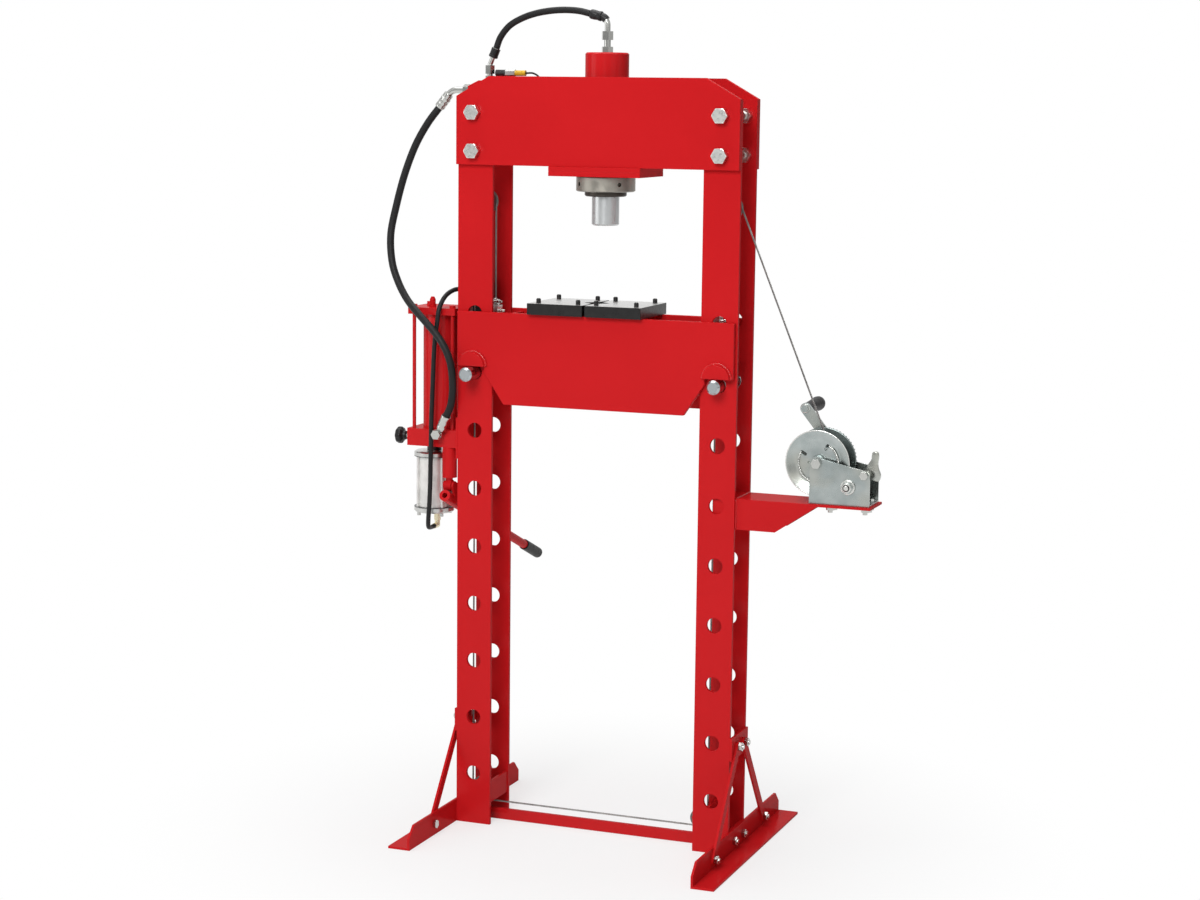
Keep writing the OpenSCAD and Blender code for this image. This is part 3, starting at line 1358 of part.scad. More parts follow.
upright_front_left();
upright_rear_left();
upright_front_right();
upright_rear_right();
head_front();
head_rear();
head_fasteners();
ram_support_plate();
upright_ties();
feet();
foot_braces();
foot_bolts();
cross_tie();
ram_cylinder();
ring_nut();
ram_gland();
ram_piston();
manifold();
hydraulic_fittings();
gauge_coupler();
gauge_lead();
pump_hose();
ram_hose();
air_hose();
pump_bracket();
tank_plate();
oil_tank();
tank_rods();
filler_plug();
pump_block();
plunger_cylinder();
air_motor();
air_elbow();
air_valve();
release_knob();
pump_lever();
handle_grip();
plunger();
bed_front();
bed_rear();
bed_spacers();
bed_clips();
arbor_left();
arbor_right();
left_pin();
right_pin();
winch_arm();
winch_frame();
winch_bolts();
drum();
crank();
crank_grip();
pawl();
lift_cable();
cable_drop();
pulley_axles();
top_right_pulley();
top_left_pulley();
floor_right_pulley();
floor_left_pulley();
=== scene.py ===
import math
import random
import bpy
from mathutils import Matrix, Vector


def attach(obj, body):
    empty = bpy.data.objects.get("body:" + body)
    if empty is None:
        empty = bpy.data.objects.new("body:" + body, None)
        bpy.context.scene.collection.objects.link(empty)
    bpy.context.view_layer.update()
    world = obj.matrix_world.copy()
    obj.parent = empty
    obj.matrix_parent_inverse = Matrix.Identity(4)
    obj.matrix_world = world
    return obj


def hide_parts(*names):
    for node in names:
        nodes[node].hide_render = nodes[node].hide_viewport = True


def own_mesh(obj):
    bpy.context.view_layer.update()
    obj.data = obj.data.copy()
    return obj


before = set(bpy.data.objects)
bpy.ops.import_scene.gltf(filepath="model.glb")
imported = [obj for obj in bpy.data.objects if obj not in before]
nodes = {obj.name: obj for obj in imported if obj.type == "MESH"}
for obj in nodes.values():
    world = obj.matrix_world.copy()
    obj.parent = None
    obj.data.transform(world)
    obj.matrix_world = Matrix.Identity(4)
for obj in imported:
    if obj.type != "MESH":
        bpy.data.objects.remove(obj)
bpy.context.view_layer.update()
scene = bpy.context.scene
MM = 0.001


# Shader node helpers
def new_material(name):
    material = bpy.data.materials.new(name)
    material.use_nodes = True
    tree = material.node_tree
    shader = next(n for n in tree.nodes if n.type == "BSDF_PRINCIPLED")
    return material, tree, shader


def add_node(tree, kind, **values):
    made = tree.nodes.new(kind)
    for key, value in values.items():
        setattr(made, key, value)
    return made


def coords(tree):
    return add_node(tree, "ShaderNodeTexCoord").outputs["Object"]


def component(tree, vector, axis):
    split = add_node(tree, "ShaderNodeSeparateXYZ")
    tree.links.new(vector, split.inputs[0])
    return split.outputs[axis]


def remap(tree, value, start, end, low=0.0, high=1.0, kind="LINEAR"):
    made = add_node(tree, "ShaderNodeMapRange", interpolation_type=kind)
    made.inputs["From Min"].default_value = start
    made.inputs["From Max"].default_value = end
    made.inputs["To Min"].default_value = low
    made.inputs["To Max"].default_value = high
    tree.links.new(value, made.inputs["Value"])
    return made.outputs["Result"]


def maths(tree, operation, first, second):
    made = add_node(tree, "ShaderNodeMath", operation=operation, use_clamp=True)
    tree.links.new(first, made.inputs[0])
    tree.links.new(second, made.inputs[1])
    return made.outputs[0]


def noise(tree, scale, detail=4.0, rough=0.55, stretch=None):
    texture = add_node(tree, "ShaderNodeTexNoise")
    texture.inputs["Scale"].default_value = scale
    texture.inputs["Detail"].default_value = detail
    texture.inputs["Roughness"].default_value = rough
    source = coords(tree)
    if stretch:
        mapping = add_node(tree, "ShaderNodeMapping")
        mapping.inputs["Scale"].default_value = stretch
        tree.links.new(source, mapping.inputs["Vector"])
        source = mapping.outputs["Vector"]
    tree.links.new(source, texture.inputs["Vector"])
    return texture.outputs["Fac"]


def ramp(tree, value, stops):
    made = add_node(tree, "ShaderNodeValToRGB")
    elements = made.color_ramp.elements
    while len(elements) < len(stops):
        elements.new(0.5)
    for element, (position, colour) in zip(elements, stops):
        element.position = position
        element.color = (*colour, 1.0)
    tree.links.new(value, made.inputs["Fac"])
    return made.outputs["Color"]


def grey(value):
    return (value, value, value)


def scaled(colour, factor):
    return tuple(min(1.0, c * factor) for c in colour)


def bump(tree, shader, height, strength, distance, under=None):
    made = add_node(tree, "ShaderNodeBump")
    made.inputs["Strength"].default_value = strength
    made.inputs["Distance"].default_value = distance
    tree.links.new(height, made.inputs["Height"])
    if under is not None:
        tree.links.new(under, made.inputs["Normal"])
    tree.links.new(made.outputs["Normal"], shader.inputs["Normal"])
    return made.outputs["Normal"]


def mix_colour(tree, amount, first, second):
    """Amount is an output or a number; each colour is an output or a tuple."""
    made = add_node(tree, "ShaderNodeMix", data_type="RGBA")
    if isinstance(amount, float):
        made.inputs[0].default_value = amount
    else:
        tree.links.new(amount, made.inputs[0])
    for socket, value in ((made.inputs[6], first), (made.inputs[7], second)):
        if isinstance(value, tuple):
            socket.default_value = (*value, 1.0)
        else:
            tree.links.new(value, socket)
    return made.outputs[2]


# Materials
def paint(name, colour, rough, dust, coat, coat_rough):
    """Sprayed paint: a slow drift of tone, specks and orange peel. The gloss is all in its thin coat."""
    material, tree, shader = new_material(name)
    light = tuple(c * 1.04 + 0.001 for c in colour)
    tone = ramp(tree, noise(tree, 2.3, 3.0), [(0.3, scaled(colour, 0.93)), (0.7, light)])
    speck = ramp(tree, noise(tree, 240.0, 2.0), [(0.70, grey(0.0)), (0.78, grey(dust * 0.35))])
    dull = ramp(tree, noise(tree, 11.0, 5.0), [(0.3, grey(rough - 0.05)), (0.75, grey(rough + 0.09))])
    tree.links.new(mix_colour(tree, speck, tone, scaled(colour, 0.7)), shader.inputs["Base Color"])
    tree.links.new(dull, shader.inputs["Roughness"])
    shader.inputs["Coat Weight"].default_value = coat
    shader.inputs["Coat Roughness"].default_value = coat_rough
    shader.inputs["Specular IOR Level"].default_value = 0.0
    peel = bump(tree, shader, noise(tree, 420.0, 2.0, 0.5), 0.04, 0.0004)
    wave = bump(tree, shader, noise(tree, 7.0, 2.0, 0.5), 0.015, 0.004, peel)
    tree.links.new(wave, shader.inputs["Coat Normal"])
    return material


def metal(name, colour, rough, spread, mottling, grain, scale):
    """Bare metal: mottled in colour, uneven in polish, with a fine grain."""
    material, tree, shader = new_material(name)
    shader.inputs["Metallic"].default_value = 1.0
    low = scaled(colour, 1 - mottling)
    high = scaled(colour, 1 + mottling * 0.5)
    tone = ramp(tree, noise(tree, scale * 0.5, 5.0), [(0.3, low), (0.7, high)])
    polish = [(0.3, grey(max(0.05, rough - spread))), (0.7, grey(rough + spread))]
    tree.links.new(tone, shader.inputs["Base Color"])
    tree.links.new(ramp(tree, noise(tree, scale, 4.0, 0.6), polish), shader.inputs["Roughness"])
    bump(tree, shader, noise(tree, scale * 4, 3.0, 0.6), grain, 0.0003)
    return material


def polymer(name, colour, rough, grain, scale, specular):
    """Rubber or plastic with a fine grain."""
    material, tree, shader = new_material(name)
    tone = ramp(tree, noise(tree, scale * 0.1), [(0.3, scaled(colour, 0.8)), (0.7, scaled(colour, 1.15))])
    polish = [(0.3, grey(rough - 0.06)), (0.7, grey(rough + 0.06))]
    tree.links.new(tone, shader.inputs["Base Color"])
    tree.links.new(ramp(tree, noise(tree, scale * 0.25, 3.0), polish), shader.inputs["Roughness"])
    shader.inputs["Specular IOR Level"].default_value = specular
    bump(tree, shader, noise(tree, scale, 3.0), grain, 0.0004)
    return material


def zinc_sheet(name, painted_shade=False):
    """Passivated zinc: grey-green with warm stains. With painted_shade on, painted shade darkens it behind
    the drum's front flange.
    """
    material, tree, shader = new_material(name)
    shader.inputs["Metallic"].default_value = 1.0
    cool = ramp(tree, noise(tree, 22.0, 2.0), [(0.3, (0.33, 0.375, 0.37)), (0.7, (0.49, 0.53, 0.52))])
    stain = ramp(tree, noise(tree, 12.0, 2.0, 0.5), [(0.45, grey(0.0)), (0.7, grey(0.6))])
    tone = mix_colour(tree, stain, cool, (0.53, 0.50, 0.42))
    if painted_shade:
        # Painted shade: darker from just behind the front flange back towards the rear gear
        depth = remap(tree, component(tree, coords(tree), "Y"), -0.022, -0.012)
        tone = mix_colour(tree, depth, tone, (0.19, 0.22, 0.215))
    dull = ramp(tree, noise(tree, 30.0, 3.0, 0.5), [(0.3, grey(0.24)), (0.75, grey(0.33))])
    tree.links.new(tone, shader.inputs["Base Color"])
    tree.links.new(dull, shader.inputs["Roughness"])
    bump(tree, shader, noise(tree, 260.0, 2.0, 0.5), 0.012, 0.0002)
    return material


def ground_block(name):
    """Black block with a bright ground top."""
    material, tree, shader = new_material(name)
    normal = add_node(tree, "ShaderNodeNewGeometry").outputs["True Normal"]
    is_top = add_node(tree, "ShaderNodeMath", operation="GREATER_THAN")
    is_top.inputs[1].default_value = 0.9
    tree.links.new(component(tree, normal, "Z"), is_top.inputs[0])
    scuffs = noise(tree, 30.0, 6.0, 0.6, (1, 6, 1))
    bright = ramp(tree, scuffs, [(0.3, (0.52, 0.52, 0.51)), (0.7, (0.66, 0.66, 0.65))])
    black = ramp(tree, noise(tree, 90.0), [(0.3, grey(0.004)), (0.75, grey(0.009))])
    dull = ramp(tree, noise(tree, 60.0, 4.0, 0.6, (1, 10, 1)), [(0.3, grey(0.24)), (0.7, grey(0.42))])
    tree.links.new(mix_colour(tree, is_top.outputs[0], black, bright), shader.inputs["Base Color"])
    tree.links.new(is_top.outputs[0], shader.inputs["Metallic"])
    tree.links.new(dull, shader.inputs["Roughness"])
    shader.inputs["Specular IOR Level"].default_value = 0.42
    bump(tree, shader, noise(tree, 400.0, 3.0, 0.6, (1, 8, 1)), 0.06, 0.0003)
    return material


def banded(name, axis, bands):
    """Bands along one axis: (start in mm, colour, metallic, roughness)."""
    material, tree, shader = new_material(name)
    start = bands[0][0] * MM
    span = (bands[-1][0] + 20) * MM - start
    along = remap(tree, component(tree, coords(tree), axis), start, start + span)
    places = [(band[0] * MM - start) / span for band in bands]
    tone = ramp(tree, along, [(place, band[1]) for place, band in zip(places, bands)])
    kind = ramp(tree, along, [(place, (band[2], band[3], 0.0)) for place, band in zip(places, bands)])
    for stepped in (tone, kind):
        stepped.node.color_ramp.interpolation = "CONSTANT"
    dirt = ramp(tree, noise(tree, 40.0), [(0.3, grey(0.0)), (0.8, grey(0.25))])
    tree.links.new(mix_colour(tree, dirt, tone, grey(0.05)), shader.inputs["Base Color"])
    values = add_node(tree, "ShaderNodeSeparateColor")
    tree.links.new(kind, values.inputs[0])
    tree.links.new(values.outputs[0], shader.inputs["Metallic"])
    tree.links.new(values.outputs[1], shader.inputs["Roughness"])
    bump(tree, shader, noise(tree, 500.0, 3.0), 0.06, 0.0003)
    return material


RED = (0.585, 0.012, 0.015)
PLATED = (0.66, 0.66, 0.64)
SEAM = (0.2, 0.2, 0.2)
SILVER = (0.82, 0.815, 0.79)
BLACK = (0.012, 0.012, 0.0125)
YELLOW = (0.80, 0.50, 0.02)
MATERIALS = {
    "red": paint("red_paint", RED, 0.33, 0.4, 0.16, 0.2),
    "weld": paint("painted_weld", RED, 0.24, 0.2, 0.6, 0.1),
    "gloss": paint("glossy_red_paint", RED, 0.3, 0.3, 0.24, 0.1),
    "zinc": zinc_sheet("zinc_plate"),
    "drum": zinc_sheet("zinc_drum", True),
    "zinc_bright": metal("zinc_bolts", (0.72, 0.73, 0.70), 0.30, 0.05, 0.06, 0.03, 160.0),
    "fitting": metal("plated_fittings", (0.56, 0.565, 0.54), 0.19, 0.03, 0.08, 0.006, 60.0),
    "pin": metal("ground_pins", (0.47, 0.505, 0.52), 0.22, 0.05, 0.08, 0.02, 120.0),
    "steel": metal("turned_steel", (0.55, 0.565, 0.568), 0.35, 0.05, 0.10, 0.004, 30.0),
    "cast": metal("raw_steel", (0.33, 0.312, 0.275), 0.45, 0.12, 0.36, 0.2, 50.0),
    "gland": metal("dark_gland", (0.07, 0.062, 0.054), 0.42, 0.08, 0.3, 0.1, 60.0),
    "rope": metal("wire_rope", (0.31, 0.30, 0.29), 0.40, 0.1, 0.3, 0.1, 120.0),
    "pulley": metal("dull_steel", (0.20, 0.19, 0.18), 0.5, 0.1, 0.3, 0.1, 60.0),
    "brass": metal("brass", (0.74, 0.66, 0.46), 0.3, 0.08, 0.15, 0.05, 80.0),
    "rubber": polymer("hose_rubber", BLACK, 0.48, 0.1, 500.0, 0.22),
    "plastic": polymer("black_plastic", (0.011, 0.011, 0.0115), 0.38, 0.06, 400.0, 0.3),
    "arbor": ground_block("ground_top_black_sides"),
    "motor": banded("air_motor_bands", "Z", [
        (660, PLATED, 1.0, 0.3), (688.5, SEAM, 1.0, 0.4), (690.5, SILVER, 0.35, 0.36),
        (801.5, SEAM, 1.0, 0.4), (803.5, PLATED, 1.0, 0.3), (814.5, BLACK, 0.0, 0.45)]),
    "coupler": banded("coupler_bands", "X", [
        (-260, BLACK, 0.0, 0.4), (-230.2, PLATED, 1.0, 0.3), (-208.8, YELLOW, 0.0, 0.4)]),
}

# Materials of the CAD nodes; the others are painted red
LOOKS = {
    "zinc_bright": ("head_fasteners", "bed_clips", "pulley_axles"),
    "fitting": ("foot_bolts", "winch_bolts", "hydraulic_fittings"),
    "zinc": ("winch_frame", "crank", "pawl"),
    "drum": ("drum",),
    "pin": ("left_pin", "right_pin"),
    "steel": ("ram_piston",),
    "cast": ("ring_nut",),
    "gland": ("ram_gland",),
    "gloss": ("oil_tank", "ram_cylinder", "tank_plate", "pump_block", "tank_rods", "cross_tie", "pump_lever"),
    "rope": ("lift_cable", "cable_drop"),
    "pulley": ("top_right_pulley", "top_left_pulley", "floor_right_pulley", "floor_left_pulley"),
    "rubber": ("pump_hose", "ram_hose", "air_hose", "gauge_lead", "handle_grip", "crank_grip"),
    "plastic": ("release_knob", "air_valve"),
    "brass": ("air_elbow",),
    "coupler": ("gauge_coupler",),
    "motor": ("air_motor",),
    "arbor": ("arbor_left", "arbor_right"),
}
look_of = {name: look for look, names in LOOKS.items() for name in names}

# Rounded edges of the CAD nodes, in mm; the others keep sharp edges
EDGES = {
    0.4: ("hydraulic_fittings",),
    0.5: ("foot_bolts", "winch_bolts", "crank", "plunger"),
    0.6: ("head_fasteners", "bed_clips"),
    0.8: ("foot_braces", "air_motor"),
    1.0: ("feet", "cross_tie", "upright_ties", "arbor_left", "arbor_right", "manifold", "bed_spacers",
          "pump_bracket", "air_valve"),
    1.2: ("upright_front_left", "upright_rear_left", "upright_front_right", "upright_rear_right",
          "ram_support_plate", "winch_arm", "tank_plate"),
    1.5: ("head_front", "head_rear", "bed_front", "bed_rear", "pump_block"),
    1.8: ("winch_frame",),
}
edge_of = {name: edge for edge, names in EDGES.items() for name in names}


def crease(piece, degrees):
    split = piece.modifiers.new("crease", "EDGE_SPLIT")
    split.split_angle = math.radians(degrees)


def weld_points(piece):
    weld = piece.modifiers.new("weld", "WELD")
    weld.merge_threshold = 1e-6


def round_edges(piece, edge):
    flat = piece.modifiers.new("flat", "DECIMATE")
    flat.decimate_type = "DISSOLVE"
    flat.angle_limit = math.radians(0.5)
    bevel = piece.modifiers.new("edge", "BEVEL")
    bevel.width = edge * MM
    bevel.segments = 2
    bevel.limit_method = "ANGLE"
    bevel.angle_limit = math.radians(40)
    bevel.use_clamp_overlap = True


def finish_node(name):
    piece = nodes[name]
    look = look_of.get(name, "red")
    piece.data.materials.clear()
    piece.data.materials.append(MATERIALS[look])
    for polygon in piece.data.polygons:
        polygon.use_smooth = True
    weld_points(piece)
    if name in edge_of:
        round_edges(piece, edge_of[name])
    else:
        crease(piece, 38)
    even_light = piece.modifiers.new("even", "WEIGHTED_NORMAL")
    even_light.mode = "FACE_AREA"
    even_light.weight = 100


for node_name in nodes:
    finish_node(node_name)


# Piece helpers
def link(name, mesh, body, look, *replaced):
    piece = bpy.data.objects.new(name, mesh)
    scene.collection.objects.link(piece)
    piece.data.materials.append(MATERIALS[look])
    if replaced:
        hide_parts(*replaced)
    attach(piece, body)
    return piece


def mesh_from(name, points, faces, smooth=True):
    mesh = bpy.data.meshes.new(name)
    mesh.from_pydata([tuple(point) for point in points], [], faces)
    mesh.validate()
    for polygon in mesh.polygons:
        polygon.use_smooth = smooth
    return mesh


def add_piece(name, skin, body, look, *replaced):
    return link(name, mesh_from(name, *skin), body, look, *replaced)


def metres(points):
    return [Vector(point) * MM for point in points]


def on_circle(x, y, z, radius, degrees):
    """A point on an upright circle that faces along Y."""
    angle = math.radians(degrees)
    return Vector((x + radius * math.cos(angle), y, z + radius * math.sin(angle)))


def smooth_path(points, per=6):
    """Catmull-Rom curve through the points."""
    knots = [Vector(point) for point in points]
    knots = [2 * knots[0] - knots[1]] + knots + [2 * knots[-1] - knots[-2]]
    path = []
    for i in range(1, len(knots) - 2):
        a, b, c, d = knots[i - 1:i + 3]
        for k in range(per):
            t = k / per
            square = (2 * a - 5 * b + 4 * c - d) * t * t
            cube = (3 * b - a - 3 * c + d) * t ** 3
            path.append(0.5 * (2 * b + (c - a) * t + square + cube))
    path.append(knots[-2].copy())
    return path


def even(points, step):
    """The same line with points about a fixed step apart."""
    path = [points[0].copy()]
    for a, b in zip(points, points[1:]):
        count = max(1, round((b - a).length / step))
        path += [a.lerp(b, (i + 1) / count) for i in range(count)]
    return path


def runs(path):
    """The distance from the start at each point."""
    distances = [0.0]
    for a, b in zip(path, path[1:]):
        distances.append(distances[-1] + (b - a).length)
    return distances


def frames(path):
    """Each point with two steady side directions."""
    result = []
    side = None
    for i, point in enumerate(path):
        tangent = (path[min(i + 1, len(path) - 1)] - path[max(i - 1, 0)]).normalized()
        if side is None:
            side = tangent.orthogonal().normalized()
        side = (side - tangent * side.dot(tangent)).normalized()
        result.append((point, side, tangent.cross(side)))
    return result


def ring_about(centre, side, across, radius, sides):
    angles = [2 * math.pi * k / sides for k in range(sides)]
    return [centre + radius * (math.cos(angle) * side + math.sin(angle) * across) for angle in angles]


def loft(rings, caps=True):
    """Skin over rings of equally many points."""
    sides = len(rings[0])
    faces = []
    for i in range(len(rings) - 1):
        near = i * sides
        far = near + sides
        for k in range(sides):
            after = (k + 1) % sides
            faces.append((near + k, near + after, far + after, far + k))
    if caps:
        last = (len(rings) - 1) * sides
        faces.append(tuple(reversed(range(sides))))
        faces.append(tuple(range(last, last + sides)))
    return [point for ring in rings for point in ring], faces


def tube(path, radii, sides, caps=True):
    """Radii is one radius, or one for each point."""
    if isinstance(radii, float):
        radii = [radii] * len(path)
    rings = [ring_about(*place, radius, sides) for place, radius in zip(frames(path), radii)]
    return loft(rings, caps)


def join(skins):
    points = []
    faces = []
    for more_points, more_faces in skins:
        base = len(points)
        points += more_points
        faces += [tuple(i + base for i in face) for face in more_faces]
    return points, faces


def rope(points, radius, lay, step, strands=6):
    """Twisted strands along a line; lay is the length of one twist."""
    path = even(points, step)
    places = list(zip(frames(path), runs(path)))
    skins = []
    for strand in range(strands):
        line = []
        for (point, side, across), run in places:
            angle = 2 * math.pi * (run / lay + strand / strands)
            line.append(point + (math.cos(angle) * side + math.sin(angle) * across) * radius * 2 / 3)
        skins.append(tube(line, radius / 3, 5))
    return join(skins)


def turned(name, start, towards, profile, body, look, sides=32):
    """Turned piece: (distance along, radius) from one point towards another, in mm."""
    origin = Vector(start)
    axis = (Vector(towards) - origin).normalized()
    side = axis.orthogonal().normalized()
    across = axis.cross(side)
    rings = []
    for along, radius in profile:
        rings.append(metres(ring_about(origin + axis * along, side, across, radius, sides)))
    piece = add_piece(name, loft(rings), body, look)
    crease(piece, 35)
    return piece


def crimp(name, start, towards, length, radius, look, ridges):
    """Pressed ferrule: ridges, and a plain collar at the far end."""
    profile = [(0.0, radius - 0.6), (0.6, radius)]
    pitch = (length - 6.0) / ridges
    for i in range(ridges):
        for share, rise in ((0.15, 0.7), (0.55, 0.7), (0.7, 0.15), (0.95, 0.15)):
            profile.append((0.8 + (i + share) * pitch, radius + rise))
    profile += [(length - 4.5, radius + 0.9), (length - 0.8, radius + 0.9), (length, radius)]
    return turned(name, start, towards, profile, "frame", look)


def bead(name, points, radius, body="frame"):
    """Rippled weld bead along points in mm."""
    ripple = 0.0042
    path = even(metres(points), 0.0011)
    chance = random.Random(name)
    phase = chance.random()
    sizes = []
    for run in runs(path):
        wave = 0.86 + 0.2 * abs(math.sin(math.pi * (run / ripple + phase)))
        sizes.append(radius * MM * (wave + chance.uniform(-0.05, 0.05)))
    return add_piece(name, tube(path, sizes, 10), body, "weld")


# Hoses and the gauge's lead: diameter in metres, route in mm
HOSES = {
    "pump_hose": (0.016, [
        (-386, 0, 1564), (-415, 0, 1528), (-443, -2, 1480), (-467, -5, 1418), (-485, -9, 1350),
        (-495, -16, 1288), (-488, -24, 1230), (-468, -34, 1186), (-441, -48, 1152), (-410, -66, 1128),
        (-380, -78, 1105), (-352, -84, 1080), (-331, -87, 1052), (-319, -87, 1022), (-315, -85, 990),
        (-317, -80, 955), (-324, -75, 926.5), (-336, -69, 905)]),
    "ram_hose": (0.014, [
        (-38, 0, 1762), (-65, 0, 1768), (-98, 0, 1770), (-132, 0, 1768), (-166, 0, 1762),
        (-196, 0, 1752), (-223, 0, 1737), (-243, 0, 1714), (-253, 0, 1690)]),
    "air_hose": (0.010, [
        (-314, 32, 1166), (-324, 32, 1166), (-338, 18, 1172), (-347, -8, 1172), (-354, -38, 1160),
        (-358, -60, 1135), (-361, -64, 1105), (-366, -64, 1070), (-369, -63, 1035), (-371, -62, 1000),
        (-373, -62, 950), (-375, -62, 900), (-376, -62, 850), (-377, -62, 800), (-378, -62, 750),
        (-380, -62, 705), (-384, -58, 675), (-390, -45, 655), (-394, -27, 649), (-394, -8, 649)]),
    "gauge_lead": (0.004, [
        (-185, 0, 1638), (-168, 0, 1638), (-154, 0, 1629), (-147, 0, 1608), (-140, 0, 1580),
        (-122, 0, 1555), (-92, 0, 1540), (-60, 0, 1540)]),
}
for hose_name, (diameter, route) in HOSES.items():
    path = smooth_path([tuple(c * MM for c in point) for point in route])
    skin = tube(path, diameter / 2, 20 if diameter > 0.006 else 12)
    hose = add_piece(hose_name + "_smooth", skin, "frame", "rubber", hose_name)

# Lift cable: from the drum over the top right, floor and top left pulleys; places in mm, rope in metres
PULLEY_R = 24.5
SMALL_PULLEY_R = 17.5
TOP_PULLEY_Z = 1366.0
FLOOR_PULLEY_Z = 64.5
BAR_X = 276.0
DRUM_X = 486.0
DRUM_Z = 850.0
DRUM_WRAP_R = 27.35
CABLE_R = 0.002
CABLE_LAY = 0.040
CABLE_STEP = 0.004


def arc(x, z, radius, start, turn):
    count = max(2, math.ceil(abs(turn) / 4.0))
    return [on_circle(x, 0.0, z, radius, start + turn * i / count) for i in range(count + 1)]


drum_side = DRUM_X - BAR_X
drum_drop = DRUM_Z - TOP_PULLEY_Z
wrap_angle = math.acos((PULLEY_R - DRUM_WRAP_R) / math.hypot(drum_side, drum_drop))
lead_on = math.degrees(wrap_angle + math.atan2(drum_drop, drum_side))
cable_line = [on_circle(DRUM_X, 0.0, DRUM_Z, DRUM_WRAP_R, lead_on)]
cable_line += arc(BAR_X, TOP_PULLEY_Z, PULLEY_R, lead_on, 180 - lead_on)
cable_line += arc(BAR_X - PULLEY_R - SMALL_PULLEY_R, FLOOR_PULLEY_Z - PULLEY_R + SMALL_PULLEY_R,
                  SMALL_PULLEY_R, 0, -90)
cable_line += arc(-BAR_X, FLOOR_PULLEY_Z, PULLEY_R, 270, -90)
cable_line += arc(-BAR_X, TOP_PULLEY_Z, PULLEY_R, 180, -180)
skin = rope(metres(cable_line), CABLE_R, CABLE_LAY, CABLE_STEP)
add_piece("lift_cable_strands", skin, "frame", "rope", "lift_cable")

# Cable drop to the bed's left end, drawn at one length; on the press it gets shorter as the bed rises
DROP_X = -BAR_X + PULLEY_R
DROP_END_Z = 1103.0
skin = rope(metres([(DROP_X, 0, DROP_END_Z), (DROP_X, 0, TOP_PULLEY_Z)]), CABLE_R, CABLE_LAY, CABLE_STEP)
drop = add_piece("cable_drop_strands", skin, "frame", "rope", "cable_drop")
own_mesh(drop)

# Cable wound on the drum
COIL_TURNS = 8
COIL_PITCH = 4.3
COIL_R = 26.7
COIL_START_Y = -17.2
TURN_STEPS = 48
coil = []
for i in range(COIL_TURNS * TURN_STEPS + 1):
    turn = i / TURN_STEPS
    coil.append(on_circle(DRUM_X, COIL_START_Y + COIL_PITCH * turn, DRUM_Z, COIL_R, 360 * turn))
add_piece("drum_cable", rope(metres(coil), 0.0022, 0.026, 0.0035), "winch_drum", "rope")

# Weld beads on the saddles, the winch arm, the bed's spacers, the ram's support plate and the floor bar
SEAT_Z = 1016.1
SADDLE_R = 30.0
BED_FACE_Y = 67.5
SPACER_X = 214.0
SPACER_HALF = 5.5
SPACER_END_Y = 55
SPACER_LOW_Z = 985
SPACER_TOP_Z = 1122
ARM_X = 317
ARM_SIDE_Y = 47
ARM_LOW_Z = 703
ARM_TOP_Z = 766
SUPPORT_HALF = 100
SUPPORT_Y = 54
SUPPORT_Z = 1446
TIE_X = 310
TIE_Y = -6
ENDS = {-1: "left", 1: "right"}
FACES = {-1: "front", 1: "rear"}
MARKS = {-1: "a", 1: "b"}
for side in (-1, 1):
    for face in (-1, 1):
        saddle = [on_circle(side * BAR_X, face * (BED_FACE_Y + 0.6), SEAT_Z + 0.5, SADDLE_R + 0.8, 5 * i)
                  for i in range(37)]
        bead(f"saddle_weld_{FACES[face]}_{ENDS[side]}", saddle, 4.0, "bed")
    arm_y = side * ARM_SIDE_Y
    bead(f"arm_weld_{FACES[side]}", [(ARM_X, arm_y, ARM_LOW_Z), (ARM_X, arm_y, ARM_TOP_Z - 2)], 2.4)
    for face in (-1, 1):
        spacer_x = side * (SPACER_X + face * SPACER_HALF)
        for end in (-1, 1):
            spacer_y = end * SPACER_END_Y
            bead(f"spacer_weld_{MARKS[side]}_{MARKS[face]}_{MARKS[end]}",
                 [(spacer_x, spacer_y, SPACER_LOW_Z), (spacer_x, spacer_y, SPACER_TOP_Z)], 2.6, "bed")
bead("arm_weld_top", [(ARM_X, 2 - ARM_SIDE_Y, ARM_TOP_Z), (ARM_X, ARM_SIDE_Y - 2, ARM_TOP_Z)], 2.2)
for end in (-1, 1):
    support_y = end * SUPPORT_Y
    bead(f"support_weld_{FACES[end]}",
         [(-SUPPORT_HALF, support_y, SUPPORT_Z), (SUPPORT_HALF, support_y, SUPPORT_Z)], 2.8)
    bead(f"tie_weld_{ENDS[end]}", [(end * TIE_X, TIE_Y, 4), (end * TIE_X, TIE_Y, 22)], 2.4)

# Ferrules on the ends of the hydraulic hoses, each towards its fitting
pump_route = HOSES["pump_hose"][1]
ram_route = HOSES["ram_hose"][1]
crimp("pump_hose_top_ferrule", pump_route[0], (-357, 0, 1600), 26.0, 10.5, "fitting", 2)
crimp("pump_hose_low_ferrule", pump_route[-1], (-360, -57, 862), 34.0, 10.0, "fitting", 2)
crimp("ram_hose_ferrule", ram_route[-1], (-268, 0, 1654), 20.5, 9.1, "plastic", 5)
crimp("ram_hose_top_ferrule", ram_route[0], (-14.1, 0, 1756.6), 25.6, 9.6, "plastic", 1)

# Anchor loop of the cable on the drum's front: its two ends dip into the flange
LOOP_R = 42.5
LOOP_FACE_Y = -22.7
LOOP_STEPS = 72
loop = []
for i in range(LOOP_STEPS + 1):
    rise = 4.5 * min(1.0, i / 4, (LOOP_STEPS - i) / 4)
    loop.append(on_circle(DRUM_X, LOOP_FACE_Y - rise, DRUM_Z, LOOP_R, 150 + 270 * i / LOOP_STEPS))
# Painted highlight: the loop's wire rope is given the brighter fittings metal instead of the rope's
add_piece("drum_anchor_loop", rope(metres(loop), 0.0024, 0.024, 0.0025), "winch_drum", "fitting")

